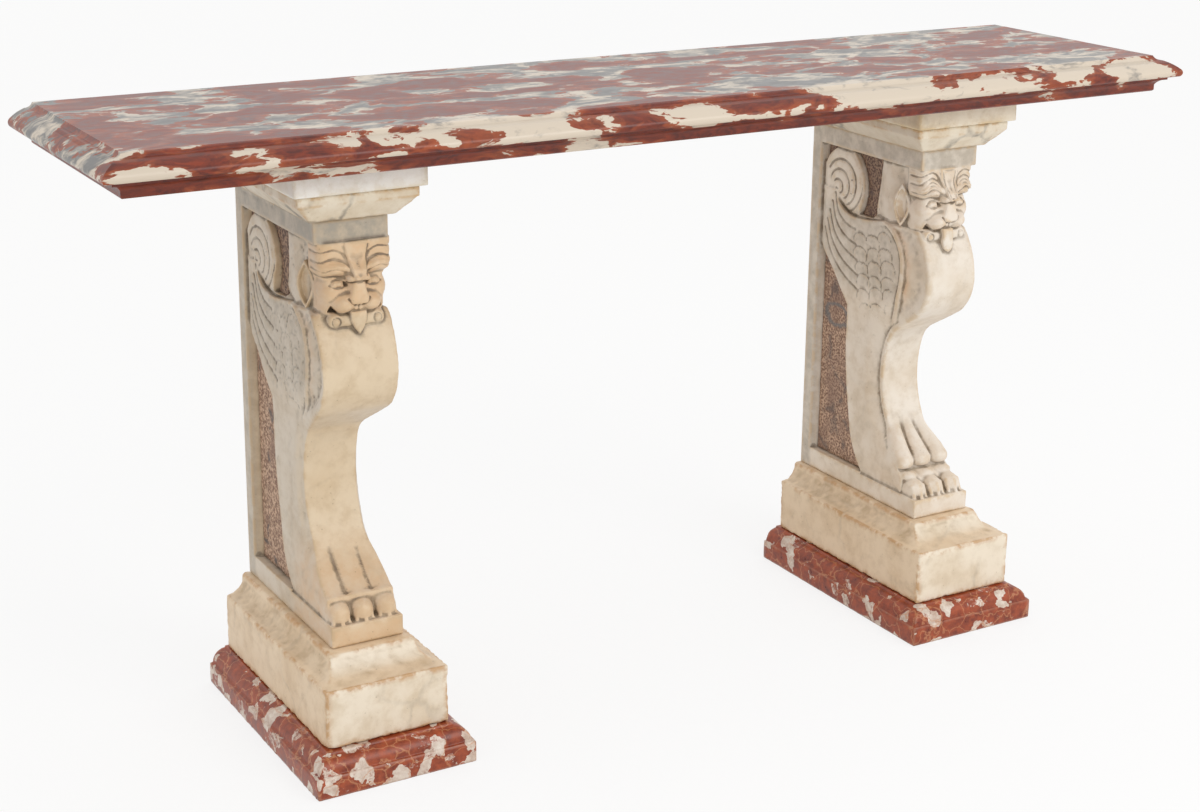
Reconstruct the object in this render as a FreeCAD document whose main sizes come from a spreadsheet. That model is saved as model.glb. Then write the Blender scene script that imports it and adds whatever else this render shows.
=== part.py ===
# A marble pier table: one moulded slab on two winged lion supports, each on a plinth and a base.
# Each stone has its own frame: X across the stone, Y the depth from its flat back, Z up from its bed.
import FreeCAD, Part
import Sketcher
import math
import os
import re

doc = FreeCAD.newDocument("pier_table")
sheet = doc.addObject("Spreadsheet::Sheet", "Sizes")

SIZES = {
    # The whole table
    "length": 1736,
    "support_centre": 504,
    "wall_depth": 209,
    # Heights of the stones, from the floor up
    "base_height": 55,
    "plinth_height": 115,
    "support_height": 597,
    "cap_height": 41,
    "plate_height": 36,
    "slab_height": 56,
    # Depths from the flat back to the front, and the gap between each back and the wall
    "slab_depth": 412,
    "base_depth": 418,
    "plinth_depth": 379,
    "plinth_gap": 7,
    "support_gap": 10,
    "cap_depth": 316,
    "plate_depth": 325,
    # Half widths of the stones under the slab
    "base_half": 119,
    "plinth_half": 91,
    "support_half": 53.5,
    "cap_half": 87,
    "plate_half": 95,
    # Slab edge: insets from the nose and heights from the underside
    "slab_arris": 2,
    "slab_fascia_inset": 30,
    "slab_fascia_top": 10,
    "slab_hollow": 16,
    "slab_fillet_inset": 16,
    "slab_fillet_low": 19,
    "slab_fillet_high": 24,
    "nose_inset": 3,
    "nose_low": 25,
    "nose_high": 37,
    "nose_round": 7.5,
    "nose_back_inset": 23,
    "nose_back_height": 49,
    "nose_back_round": 60,
    "top_inset": 34,
    "top_hollow": 11,
    # Base edge: a plain fascia, then a quarter round and a small step
    "base_fascia": 32,
    "base_ledge": 5,
    "base_round": 20,
    # Plinth edge: an upright face, then a hollow and a small roll under the support
    "plinth_face": 85,
    "plinth_ledge": 2,
    "plinth_hollow": 24,
    "plinth_hollow_round": 24.5,
    "plinth_front_run": 45,
    "plinth_front_round": 46,
    "plinth_roll": 6,
    # Cap edge: a splayed underside and a short fascia
    "cap_splay_side": 26,
    "cap_splay_front": 23,
    "cap_splay_height": 27,
    "cap_arris": 2,
    # Support: how far each carved layer stands out from the middle plane
    "web_half": 39,
    "shin_half": 47,
    "flank_half": 51,
    "recess_half": 35.5,
    "inlay_thick": 6,
    "inlay_bed": 0.4,
    # Support frame: back pilaster, top rail with the block over the mask, bottom rail with the foot block
    "pilaster": 23,
    "pilaster_splay": 6,
    "top_rail": 32,
    "block_depth": 285,
    "bottom_rail": 33,
    "foot_depth": 312,
    "foot_height": 30,
    # Leg outline, depth and height of each turning point and the round between it and the next
    "instep_depth": 283,
    "instep_height": 55,
    "instep_round": 250,
    "shank_low_depth": 215,
    "shank_low_height": 130,
    "shank_round": 155,
    "shank_high_depth": 200,
    "shank_high_height": 258,
    "hollow_round": 55,
    "hollow_depth": 226,
    "hollow_height": 293,
    "belly_depth": 272,
    "belly_height": 322,
    "belly_round": 75,
    "chest_depth": 308,
    "chest_height": 400,
    "chest_round": 115,
    "throat_depth": 262,
    "throat_height": 478,
    "shin_bevel": 15,
    "chest_bevel": 4,
    # Scroll at the wing's tip
    "scroll_depth": 82,
    "scroll_height": 513,
    "scroll_round": 53,
    "scroll_half": 53,
    "scroll_margin": 2,
    "scroll_flank_round": 72,
    # Inlay fields
    "corner_foot": 33,
    "strip_top_back": 104,
    "strip_top_front": 178,
    "strip_foot_back": 124,
    "strip_foot_front": 160,
    "strip_foot": 463,
    "field_peak": 400,
    "wing_tip_depth": 105,
    "wing_tip_height": 308,
    "wing_round": 400,
    "calf_depth": 118,
    "calf_height": 130,
    "calf_round": 600,
    "heel_depth": 163,
    "heel_round": 190,
    # Mask, the plate from forehead to nose: half widths in front view and the depth of its face
    "forehead_half": 17,
    "forehead_depth": 291,
    "bridge_half": 8,
    "bridge_height": 528,
    "nostril_half": 13,
    "nostril_height": 507,
    "nose_depth": 308,
    "nose_foot": 496,
    "nose_deep": 60,
    # Mask, the head: a form turned about an upright axis
    "head_depth": 246,
    "chin_half": 18,
    "chin_height": 458,
    "jaw_half": 34,
    "jaw_height": 474,
    "cheek_half": 44,
    "cheek_height": 500,
    "temple_half": 50,
    "temple_height": 540,
    "crown_half": 38,
    "crown_rise": 7,
    # Mask, the rounded brows and whisker pads on each side of the nose
    "brow_round": 19,
    "brow_side": 24,
    "brow_depth": 274,
    "brow_height": 541,
    "whisker_round": 17,
    "whisker_side": 12,
    "whisker_depth": 282,
    "whisker_height": 490,
    # Mask, the ears and the tongue
    "ear_half": 57,
    "ear_tip_depth": 226,
    "ear_tip_height": 470,
    "ear_root_depth": 237,
    "ear_root_height": 533,
    "ear_round": 50,
    "tongue_half": 10,
    "tongue_depth": 297,
    "tongue_root": 480,
    "tongue_bend": 464,
    "tongue_round": 11,
    # Paw: three toes of one scalloped outline, turned about an axis across the foot
    "paw_depth": 254,
    "paw_height": 28,
    "paw_half": 52,
    "paw_turn": 160,
    "toe_cleft": 45,
    "toe_side": 53.5,
    "toe_crest": 56,
    "toe_shoulder": 9,
    # Square dowels in the bed joints
    "dowel_side": 16,
    "dowel_reach": 26,
    "dowel_room": 0.4,
    "dowel_back": 70,
    "dowel_front": 210,
}

for row, (alias, value) in enumerate(SIZES.items(), start=1):
    sheet.set("A%d" % row, alias)
    sheet.set("B%d" % row, str(value))
    sheet.setAlias("B%d" % row, alias)
doc.recompute()


def linked(text):
    """The expression with each size's name pointed at the sheet."""
    return re.sub(r"\b[a-z_]+\b(?!\()", lambda word: "Sizes." + word.group(), text)


def worth(text):
    """The number that an expression has at the present sizes."""
    return float(sheet.evalExpression(text))


def bind(thing, **expressions):
    """Ties an object's properties to the sheet; two underscores stand for a dot."""
    for prop, text in expressions.items():
        thing.setExpression(prop.replace("__", "."), linked(text))


def stone(name, x, y, z):
    """An empty body whose flat back faces +Y, at a place that follows the sheet."""
    body = doc.addObject("PartDesign::Body", name)
    body.Label = name
    half_turn = FreeCAD.Rotation(FreeCAD.Vector(0, 0, 1), 180)
    body.Placement = FreeCAD.Placement(FreeCAD.Vector(), half_turn)
    bind(body, Placement__Base__x=x, Placement__Base__y=y, Placement__Base__z=z)
    return body


def datum(body, role):
    """One of the body's own planes or axes."""
    return next(item for item in body.Origin.OriginFeatures if item.Role == role)


def new_sketch(body, name, plane, offset, origin):
    """An empty sketch on one of the body's own planes, moved along that plane's normal and within it."""
    sketch = body.newObject("Sketcher::SketchObject", body.Name + "_" + name)
    sketch.AttachmentSupport = [(datum(body, plane), "")]
    sketch.MapMode = "FlatFace"
    bind(sketch, AttachmentOffset__Base__x=origin[0], AttachmentOffset__Base__y=origin[1],
         AttachmentOffset__Base__z=offset)
    return sketch


def fix(sketch, kind, text, *where):
    """A dimension of the sketch that follows the sheet."""
    row = sketch.addConstraint(Sketcher.Constraint(kind, *where, worth(text)))
    sketch.setExpression("Constraints[%d]" % row, linked(text))


def arc_between(start, end, radius):
    """The short arc from start to end; with a radius below nought its centre is on the right of that way."""
    if radius < 0:
        start, end = end, start
    chord = end - start
    normal = FreeCAD.Vector(-chord.y, chord.x, 0).normalize()
    centre = (start + end) / 2 + normal * math.sqrt(radius ** 2 - (chord.Length / 2) ** 2)
    first = math.atan2(start.y - centre.y, start.x - centre.x)
    last = math.atan2(end.y - centre.y, end.x - centre.x)
    return Part.ArcOfCircle(Part.Circle(centre, FreeCAD.Vector(0, 0, 1), abs(radius)), first, last)


def outline(body, name, plane, corners, offset="0", origin=("0", "0")):
    """A closed sketch. A corner is (x, y) or, where an arc leaves it, (x, y, radius)."""
    sketch = new_sketch(body, name, plane, offset, origin)
    points = [FreeCAD.Vector(worth(corner[0]), worth(corner[1]), 0) for corner in corners]
    ends = []
    for number, corner in enumerate(corners):
        start = points[number]
        end = points[(number + 1) % len(points)]
        backward = False
        if len(corner) == 2:
            sketch.addGeometry(Part.LineSegment(start, end))
        else:
            backward = corner[2].startswith("-")
            sketch.addGeometry(arc_between(start, end, worth(corner[2])))
        ends.append((2, 1) if backward else (1, 2))
    for number, corner in enumerate(corners):
        after = (number + 1) % len(corners)
        meeting = Sketcher.Constraint("Coincident", number, ends[number][1], after, ends[after][0])
        sketch.addConstraint(meeting)
        fix(sketch, "DistanceX", corner[0], number, ends[number][0])
        fix(sketch, "DistanceY", corner[1], number, ends[number][0])
        if len(corner) == 3:
            fix(sketch, "Radius", corner[2].lstrip("-"), number)
    return sketch


def disc(body, name, plane, x, y, radius):
    """A sketch of one circle."""
    sketch = new_sketch(body, name, plane, "0", ("0", "0"))
    middle = FreeCAD.Vector(worth(x), worth(y), 0)
    sketch.addGeometry(Part.Circle(middle, FreeCAD.Vector(0, 0, 1), worth(radius)))
    centre = ("edge", "start", "end", "centre").index("centre")
    fix(sketch, "DistanceX", x, 0, centre)
    fix(sketch, "DistanceY", y, 0, centre)
    fix(sketch, "Radius", radius, 0)
    return sketch


def pad(body, sketch, length, midplane=False):
    feature = body.newObject("PartDesign::Pad", sketch.Name + "_pad")
    feature.Profile = sketch
    feature.Midplane = midplane
    bind(feature, Length=length)
    return feature


def pocket(body, sketch, length, midplane=False, forward=False):
    """A cut against the sketch plane's normal, or along it where forward."""
    feature = body.newObject("PartDesign::Pocket", sketch.Name + "_pocket")
    feature.Profile = sketch
    feature.Midplane = midplane
    feature.Reversed = forward
    bind(feature, Length=length)
    return feature


def turned(body, sketch, axis, angle="360"):
    """A form made by turning a sketch about one of its own axes."""
    feature = body.newObject("PartDesign::Revolution", sketch.Name + "_turned")
    feature.Profile = sketch
    feature.ReferenceAxis = (sketch, [axis])
    bind(feature, Angle=angle)
    return feature


def mirrored(body, name, features):
    """Repeats features on the other side of the stone's middle plane."""
    mirror = body.newObject("PartDesign::Mirrored", body.Name + "_" + name)
    mirror.Originals = features
    mirror.MirrorPlane = (datum(body, "YZ_Plane"), [""])
    body.Tip = mirror


def moulded(body, half, depth, height, profile, front_profile):
    """A stone moulded on its sides and front. A profile climbs from the bed as (inset, height, radius)."""
    right = [("%s - (%s)" % (half, row[0]),) + row[1:] for row in profile]
    left = []
    for number in reversed(range(len(profile))):
        arc = profile[number - 1][2:] if number else ()
        left.append(("%s - (%s)" % (profile[number][0], half), profile[number][1]) + arc)
    pad(body, outline(body, "section", "XZ_Plane", right + left, "-(%s)" % depth), depth)
    waste = [("%s - (%s)" % (depth, row[0]),) + row[1:] for row in front_profile]
    outside = "%s + %s" % (depth, half)
    waste += [(outside, height), (outside, "0")]
    pocket(body, outline(body, "front", "YZ_Plane", waste), "2 * (%s)" % half, midplane=True)


def mortises(body, name, level, back, upward=False):
    """Two square holes in a bed face, for the dowels that pin it to the next stone."""
    half = "dowel_side / 2 + dowel_room"
    for place in ("dowel_back", "dowel_front"):
        low = "%s + %s - (%s)" % (place, back, half)
        high = "%s + %s + %s" % (place, back, half)
        corners = [("-(%s)" % half, low), (half, low), (half, high), ("-(%s)" % half, high)]
        sketch = outline(body, name + "_" + place, "XY_Plane", corners, level)
        pocket(body, sketch, "dowel_reach + dowel_room", forward=upward)


def dowels(name, x, level):
    """The two square metal pins of one bed joint, half in the stone below and half in the stone above."""
    pair = doc.addObject("Part::Compound", name)
    pair.Label = name
    pins = []
    for depth in ("dowel_back", "dowel_front"):
        pin = doc.addObject("Part::Box", "%s_%s" % (name, depth))
        bind(pin, Length="dowel_side", Width="dowel_side", Height="2 * dowel_reach")
        bind(pin, Placement__Base__x="-dowel_side / 2", Placement__Base__z="-dowel_reach")
        bind(pin, Placement__Base__y="-%s - dowel_side / 2" % depth)
        pins.append(pin)
    pair.Links = pins
    bind(pair, Placement__Base__x=x, Placement__Base__y="wall_depth - support_gap", Placement__Base__z=level)
    return pair


def table_top():
    """The red slab: fascia, hollow, fillet, bold nose and a small hollow up to the polished top."""
    level = "base_height + plinth_height + support_height + cap_height + plate_height"
    body = stone("table_top", "0", "wall_depth", level)
    profile = [
        ("slab_fascia_inset + slab_arris", "0"),
        ("slab_fascia_inset", "slab_arris"),
        ("slab_fascia_inset", "slab_fascia_top", "-slab_hollow"),
        ("slab_fillet_inset", "slab_fillet_low"),
        ("slab_fillet_inset", "slab_fillet_high"),
        ("nose_inset", "nose_low", "nose_round"),
        ("nose_inset", "nose_high", "nose_back_round"),
        ("nose_back_inset", "nose_back_height", "-top_hollow"),
        ("top_inset", "slab_height"),
    ]
    moulded(body, "length / 2", "slab_depth", "slab_height", profile, profile)
    return body


def bearing_plate(side, x):
    """A plain sawn plate that carries the slab on the cap."""
    level = "base_height + plinth_height + support_height + cap_height"
    body = stone("bearing_plate_" + side, x, "wall_depth - support_gap", level)
    corners = [("-plate_half", "0"), ("plate_half", "0"),
               ("plate_half", "plate_depth"), ("-plate_half", "plate_depth")]
    pad(body, outline(body, "plan", "XY_Plane", corners), "plate_height")
    return body


def cap(side, x):
    """The cap: its underside splays out from the support to a short fascia."""
    level = "base_height + plinth_height + support_height"
    body = stone("cap_" + side, x, "wall_depth - support_gap", level)

    def profile(splay):
        return [(splay, "0"), ("0", "cap_splay_height"),
                ("0", "cap_height - cap_arris"), ("cap_arris", "cap_height")]

    moulded(body, "cap_half", "cap_depth", "cap_height",
            profile("cap_splay_side"), profile("cap_splay_front"))
    mortises(body, "bed", "0", "0", upward=True)
    return body


def plinth(side, x):
    """The plinth: an upright face, a hollow that runs deeper at the front, and a small roll."""
    body = stone("plinth_" + side, x, "wall_depth - plinth_gap", "base_height")

    def profile(run, hollow):
        inner = "plinth_ledge + " + run
        return [("0", "0"), ("0", "plinth_face"), ("plinth_ledge", "plinth_face", "-" + hollow),
                (inner, "plinth_height - plinth_roll", "plinth_roll"),
                (inner + " + plinth_roll", "plinth_height")]

    moulded(body, "plinth_half", "plinth_depth", "plinth_height",
            profile("plinth_hollow", "plinth_hollow_round"),
            profile("plinth_front_run", "plinth_front_round"))
    gap = "support_gap - plinth_gap"
    mortises(body, "bed", "0", gap, upward=True)
    mortises(body, "top", "plinth_height", gap)
    return body


def base(side, x):
    """The base: a plain fascia, a ledge, a quarter round and a small step under the plinth."""
    body = stone("base_" + side, x, "wall_depth", "0")
    inner = "base_ledge + base_round"
    profile = [("0", "0"), ("0", "base_fascia"), ("base_ledge", "base_fascia", "base_round"),
               (inner, "base_fascia + base_round"), (inner, "base_height")]
    moulded(body, "base_half", "base_depth", "base_height", profile, profile)
    mortises(body, "top", "base_height", "support_gap")
    return body


def inlay_fields(back, bed):
    """The three sunk fields of a support's face, drawn in by the bed all round, from the given depth."""
    rail = "support_height - top_rail - " + bed
    curl = "scroll_round + " + bed
    curl_foot = "scroll_height + sqrt((%s) ^ 2 - (scroll_depth - corner_foot) ^ 2)" % curl
    curl_head = "scroll_depth - sqrt((%s) ^ 2 - (%s - scroll_height) ^ 2)" % (curl, rail)
    return {
        "corner": [
            (back, curl_foot),
            ("corner_foot", curl_foot, "-(%s)" % curl),
            (curl_head, rail),
            (back, rail),
        ],
        "strip": [
            ("strip_foot_back + " + bed, "strip_foot + " + bed),
            ("strip_foot_front - " + bed, "strip_foot + " + bed),
            ("strip_top_front - " + bed, rail),
            ("strip_top_back + " + bed, rail, "-scroll_flank_round"),
        ],
        "field": [
            (back, "bottom_rail + " + bed),
            ("heel_depth - " + bed, "bottom_rail + " + bed, "-heel_round"),
            ("calf_depth - " + bed, "calf_height", "-calf_round"),
            ("wing_tip_depth - " + bed, "wing_tip_height", "wing_round"),
            (back, "field_peak - " + bed),
        ],
    }


def knob(body, form, x):
    """A ball of the mask, with its radius and its centre from the sheet."""
    ball = body.newObject("PartDesign::AdditiveSphere", body.Name + "_" + form)
    seam_inward = FreeCAD.Rotation(FreeCAD.Vector(0, 0, 1), -90)
    ball.Placement = FreeCAD.Placement(FreeCAD.Vector(), seam_inward)
    bind(ball, Radius=form + "_round", Placement__Base__x=x)
    bind(ball, Placement__Base__y=form + "_depth", Placement__Base__z=form + "_height")


def mask(body, rail):
    """The lion's face under the block: nose plate, turned head, brows, whisker pads, ears and tongue."""
    plate = [
        ("-forehead_half", rail), ("-bridge_half", "bridge_height"),
        ("-nostril_half", "nostril_height"), ("-bridge_half", "nose_foot"),
        ("bridge_half", "nose_foot"), ("nostril_half", "nostril_height"),
        ("bridge_half", "bridge_height"), ("forehead_half", rail),
    ]
    pad(body, outline(body, "nose", "XZ_Plane", plate, "-nose_depth"), "nose_deep")
    slope = [("forehead_depth", rail), ("nose_depth", "nostril_height"),
             ("nose_depth + nose_deep", "nostril_height"), ("nose_depth + nose_deep", rail)]
    pocket(body, outline(body, "face", "YZ_Plane", slope), "4 * forehead_half", midplane=True)

    crown = rail + " + crown_rise"
    head = [
        ("0", "chin_height"), ("-chin_half", "chin_height"), ("-jaw_half", "jaw_height"),
        ("-cheek_half", "cheek_height"), ("-temple_half", "temple_height"),
        ("-crown_half", crown), ("0", crown),
    ]
    turned(body, outline(body, "head", "YZ_Plane", head, origin=("head_depth", "0")), "V_Axis")
    for hand in ("", "-"):
        knob(body, "brow", hand + "brow_side")
        knob(body, "whisker", hand + "whisker_side")
    ear = [("ear_tip_depth", "ear_tip_height", "ear_round"),
           ("ear_root_depth", "ear_root_height", "ear_round")]
    pad(body, outline(body, "ears", "YZ_Plane", ear), "2 * ear_half", midplane=True)
    tongue = [("-tongue_half", "tongue_root"), ("-tongue_half", "tongue_bend", "tongue_round"),
              ("tongue_half", "tongue_bend"), ("tongue_half", "tongue_root")]
    pad(body, outline(body, "tongue", "XZ_Plane", tongue, "-tongue_depth"), "tongue_depth - throat_depth")


def paw(body):
    """Three toes side by side, arching from the instep down to the foot block."""
    toes = [("paw_half", "0")]
    for middle in ("2 * paw_half / 3", "0", "-2 * paw_half / 3"):
        toes += [
            (middle + " + paw_half / 3", "toe_cleft"),
            (middle + " + toe_shoulder", "toe_side"),
            (middle, "toe_crest"),
            (middle + " - toe_shoulder", "toe_side"),
        ]
    toes += [("-paw_half", "toe_cleft"), ("-paw_half", "0")]
    sketch = outline(body, "paw", "XY_Plane", toes, "paw_height", ("0", "paw_depth"))
    turned(body, sketch, "H_Axis", "paw_turn")


def support(side, x):
    """One carved block: a web in the leg's outline, shin and flank, sunk fields, frame, mask and paw."""
    body = stone("support_" + side, x, "wall_depth - support_gap", "base_height + plinth_height")
    rail = "support_height - top_rail"

    def leg_front(bevel):
        return [
            ("instep_depth - " + bevel, "instep_height", "-instep_round"),
            ("shank_low_depth - " + bevel, "shank_low_height", "-shank_round"),
            ("shank_high_depth - " + bevel, "shank_high_height", "-hollow_round"),
            ("hollow_depth - " + bevel, "hollow_height"),
        ]

    def chest_front(bevel):
        return [
            ("belly_depth - " + bevel, "belly_height + " + bevel, "belly_round"),
            ("chest_depth - " + bevel, "chest_height", "chest_round"),
            ("throat_depth - " + bevel, "throat_height"),
            ("throat_depth - " + bevel, rail),
        ]

    web = [("0", "0"), ("instep_depth", "0")] + leg_front("0") + chest_front("0") + [("0", rail)]
    pad(body, outline(body, "web", "YZ_Plane", web), "2 * web_half", midplane=True)
    shin = [("pilaster", "0"), ("instep_depth - shin_bevel", "0")]
    shin += leg_front("shin_bevel") + [("hollow_depth", "wing_tip_height"), ("pilaster", "wing_tip_height")]
    pad(body, outline(body, "shin", "YZ_Plane", shin), "2 * shin_half", midplane=True)
    flank = [("pilaster", "wing_tip_height"), ("hollow_depth", "wing_tip_height")]
    flank += chest_front("chest_bevel") + [("pilaster", rail)]
    pad(body, outline(body, "flank", "YZ_Plane", flank), "2 * flank_half", midplane=True)

    cuts = []
    for name, corners in inlay_fields("pilaster", "0").items():
        sketch = outline(body, name, "YZ_Plane", corners, "recess_half")
        cuts.append(pocket(body, sketch, "flank_half", forward=True))
    mirrored(body, "fields", cuts)

    corners = [("0", rail), ("block_depth", rail),
               ("block_depth", "support_height"), ("0", "support_height")]
    pad(body, outline(body, "top_rail", "YZ_Plane", corners), "2 * support_half", midplane=True)
    corners = [("0", "0"), ("foot_depth", "0"), ("foot_depth", "foot_height"),
               ("heel_depth", "bottom_rail"), ("0", "bottom_rail")]
    pad(body, outline(body, "bottom_rail", "YZ_Plane", corners), "2 * support_half", midplane=True)
    splayed = "pilaster + pilaster_splay"
    corners = [("-support_half", "0"), ("support_half", "0"), ("support_half", "pilaster"),
               ("recess_half", splayed), ("-recess_half", splayed), ("-support_half", "pilaster")]
    pad(body, outline(body, "pilaster", "XY_Plane", corners), "support_height")
    scroll = disc(body, "scroll", "YZ_Plane", "scroll_depth", "scroll_height",
                  "scroll_round - scroll_margin")
    pad(body, scroll, "2 * scroll_half", midplane=True)

    mask(body, rail)
    paw(body)
    mortises(body, "bed", "0", "0", upward=True)
    mortises(body, "top", "support_height", "0")
    return body


def inlays(side, x):
    """The brown stone set in the sunk fields, three pieces on each face of the support."""
    bodies = []
    outer_first = ("outer", "inner") if side == "left" else ("inner", "outer")
    starts = ("recess_half", "-recess_half - inlay_thick")
    for face, start in zip(outer_first, starts):
        for name, corners in inlay_fields("pilaster + pilaster_splay + inlay_bed", "inlay_bed").items():
            body = stone("inlay_%s_%s_%s" % (name, side, face), x, "wall_depth - support_gap",
                         "base_height + plinth_height")
            pad(body, outline(body, "face", "YZ_Plane", corners, start), "inlay_thick")
            bodies.append(body)
    return bodies


nodes = [table_top()]
for side, x in (("left", "-support_centre"), ("right", "support_centre")):
    nodes += [base(side, x), plinth(side, x), support(side, x), cap(side, x), bearing_plate(side, x)]
    nodes += inlays(side, x)
    nodes.append(dowels("dowels_foot_" + side, x, "base_height"))
    nodes.append(dowels("dowels_paw_" + side, x, "base_height + plinth_height"))
    nodes.append(dowels("dowels_cap_" + side, x, "base_height + plinth_height + support_height"))

doc.recompute()
for item in doc.Objects:
    if "Invalid" in item.State or "Error" in item.State:
        raise RuntimeError("%s did not build: %s" % (item.Name, item.State))
for node in nodes:
    if node.Shape.isNull() or not node.Shape.isValid():
        raise RuntimeError("%s has no valid shape" % node.Label)

os.makedirs("parts", exist_ok=True)
for node in nodes:
    node.Shape.exportStep("parts/%s.step" % node.Label)
    print(node.Label, len(node.Shape.Solids), round(node.Shape.Volume))
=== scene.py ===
# A marble pier table with two winged lion supports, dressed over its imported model.
import math
import bpy
import numpy as np
import openvdb
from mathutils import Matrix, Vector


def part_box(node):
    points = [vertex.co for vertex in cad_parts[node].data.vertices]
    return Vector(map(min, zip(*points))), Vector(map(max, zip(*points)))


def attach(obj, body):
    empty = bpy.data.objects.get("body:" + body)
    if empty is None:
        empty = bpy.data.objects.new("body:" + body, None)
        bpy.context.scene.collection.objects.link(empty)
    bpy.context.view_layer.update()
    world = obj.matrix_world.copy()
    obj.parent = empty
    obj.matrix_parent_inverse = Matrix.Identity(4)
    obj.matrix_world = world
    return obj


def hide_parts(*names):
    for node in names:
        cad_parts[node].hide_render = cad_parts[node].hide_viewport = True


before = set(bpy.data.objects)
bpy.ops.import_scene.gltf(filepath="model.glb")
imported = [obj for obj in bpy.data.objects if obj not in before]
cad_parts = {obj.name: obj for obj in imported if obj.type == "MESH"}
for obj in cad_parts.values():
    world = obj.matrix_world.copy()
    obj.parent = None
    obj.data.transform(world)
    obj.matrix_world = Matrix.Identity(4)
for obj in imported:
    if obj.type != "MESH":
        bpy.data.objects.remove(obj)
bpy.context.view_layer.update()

# Red breccia bases
# Two blocks on the floor, sawn from a red breccia with white clasts, moulded on three sides with a quarter
# round over a plain fascia, then rubbed and waxed. Their arrises are nicked from long use.

# Sizes in this file are in millimetres, and MM turns them into the frame's metres.
MM = 0.001
BASE_FASCIA = 32
BASE_LEDGE = 5
BASE_ROUND = 20
BASE_WEAR = 0.22
BASE_SEEDS = {"left": 3, "right": 13}
# Stones are cut from a grid. The surface is known within a band of cells, and its bend is taken over fewer.
ARC_POINTS = 14
PLAIN_STEP = 1.5
PLAIN_THINNING = 0.06
EDGE_ROUND = 1.5
BAND_CELLS = 4
BEND_CELLS = 3
# Wear of the moulded stones: chips and nicks along the arrises, dents and ripples all over.
ARRIS_FROM = 0.15
CHIP_DEPTH = 3.5
CHIP_SIZE = 9
CHIP_FROM = 0.1
NICK_SIZE = 5
NICK_SHARE = 0.5
DENT_SIZE = 16
DENT_FROM = 0.3
RIPPLE_SIZE = 7
RIPPLE_SHARE = 0.3


def node_box(node):
    """The low and the high corner of a CAD node, in millimetres."""
    return [np.array(corner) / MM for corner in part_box(node)]


def node_height(node):
    """How tall a CAD node is, in millimetres."""
    low, high = node_box(node)
    return float(high[2] - low[2])


def lumps(axes, size, seed):
    """Smooth random numbers from -1 to 1 on a grid, in lumps of the given size in millimetres."""
    chance = np.random.default_rng(seed)
    cells = [np.floor((axis - axis.min()) / size).astype(int) for axis in axes]
    field = chance.uniform(-1, 1, [cell.max() + 2 for cell in cells]).astype(np.float32)
    for number, (axis, cell) in enumerate(zip(axes, cells)):
        part = ((axis - axis.min()) / size - cell).astype(np.float32)
        part = part * part * (3 - 2 * part)
        shape = [1] * len(axes)
        shape[number] = len(axis)
        low = np.take(field, cell, number)
        field = low + (np.take(field, cell + 1, number) - low) * part.reshape(shape)
    return field


def grid_lines(low, high, step):
    """The grid lines round a box, in millimetres, with room for the surface."""
    room = 3 * step
    return [np.arange(a - room, b + room, step, dtype=np.float32) for a, b in zip(low, high)]


def bow(start, end, radius):
    """Points on an arc between two points. Its centre is to the left, or to the right if the radius is
    below nought."""
    start, end = np.array(start, float), np.array(end, float)
    half = np.linalg.norm(end - start) / 2
    across = np.array([start[1] - end[1], end[0] - start[0]]) / (2 * half)
    centre = (start + end) / 2 + across * math.copysign(math.sqrt(radius ** 2 - half ** 2), radius)
    first, last = [math.atan2(*(point - centre)[::-1]) for point in (start, end)]
    turn = (last - first + math.pi) % (2 * math.pi) - math.pi
    angles = first + turn * np.linspace(0, 1, ARC_POINTS)
    return list(centre + abs(radius) * np.stack([np.cos(angles), np.sin(angles)], 1))


def near(plane, line, reach):
    """How far each point of a plane lies from a line of points, up to a reach."""
    found = np.full(plane[0].shape, reach, np.float32)
    low, high = np.min(line, 0) - reach, np.max(line, 0) + reach
    window = np.ix_((plane[0][:, 0] > low[0]) & (plane[0][:, 0] < high[0]),
                    (plane[1][0] > low[1]) & (plane[1][0] < high[1]))
    u, v = plane[0][window], plane[1][window]
    best = found[window] ** 2
    for (u0, v0), (u1, v1) in zip(line[:-1], line[1:]):
        du, dv = u1 - u0, v1 - v0
        along = np.clip(((u - u0) * du + (v - v0) * dv) / max(du * du + dv * dv, 1e-9), 0, 1)
        best = np.minimum(best, (u - u0 - along * du) ** 2 + (v - v0 - along * dv) ** 2)
    found[window] = np.sqrt(best)
    return found


def outside(plane, line, reach=60):
    """How far each point of a plane lies outside a closed outline. Points inside count below nought."""
    ring = list(line) + [line[0]]
    gap = near(plane, ring, reach)
    within = np.zeros(plane[0].shape, bool)
    for (u0, v0), (u1, v1) in zip(ring[:-1], ring[1:]):
        if v0 != v1:
            within ^= ((v0 > plane[1]) != (v1 > plane[1])) & (
                plane[0] < (u1 - u0) * (plane[1] - v0) / (v1 - v0) + u0)
    return np.where(within, -gap, gap)


def soft_max(a, b, width):
    """The larger of two fields, with the edge where they meet rounded over a width."""
    blend = np.maximum(width - np.abs(a - b), 0)
    return np.maximum(a, b) + blend * blend / (4 * width)


def spread(field, reach):
    """The field averaged over a small cube, which reaches so many cells to every side."""
    count = 2 * reach + 1
    for axis in range(3):
        room = [(reach + 1, reach) if i == axis else (0, 0) for i in range(3)]
        total = np.moveaxis(np.cumsum(np.pad(field, room, mode="edge"), axis, dtype=np.float32), axis, 0)
        field = np.moveaxis((total[count:] - total[:-count]) / count, 0, axis)
    return field


def mark(mesh, name, amounts):
    """Gives each point of a mesh an amount that its material can read."""
    mesh.attributes.new(name, "FLOAT", "POINT").data.foreach_set("value", amounts)


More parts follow.
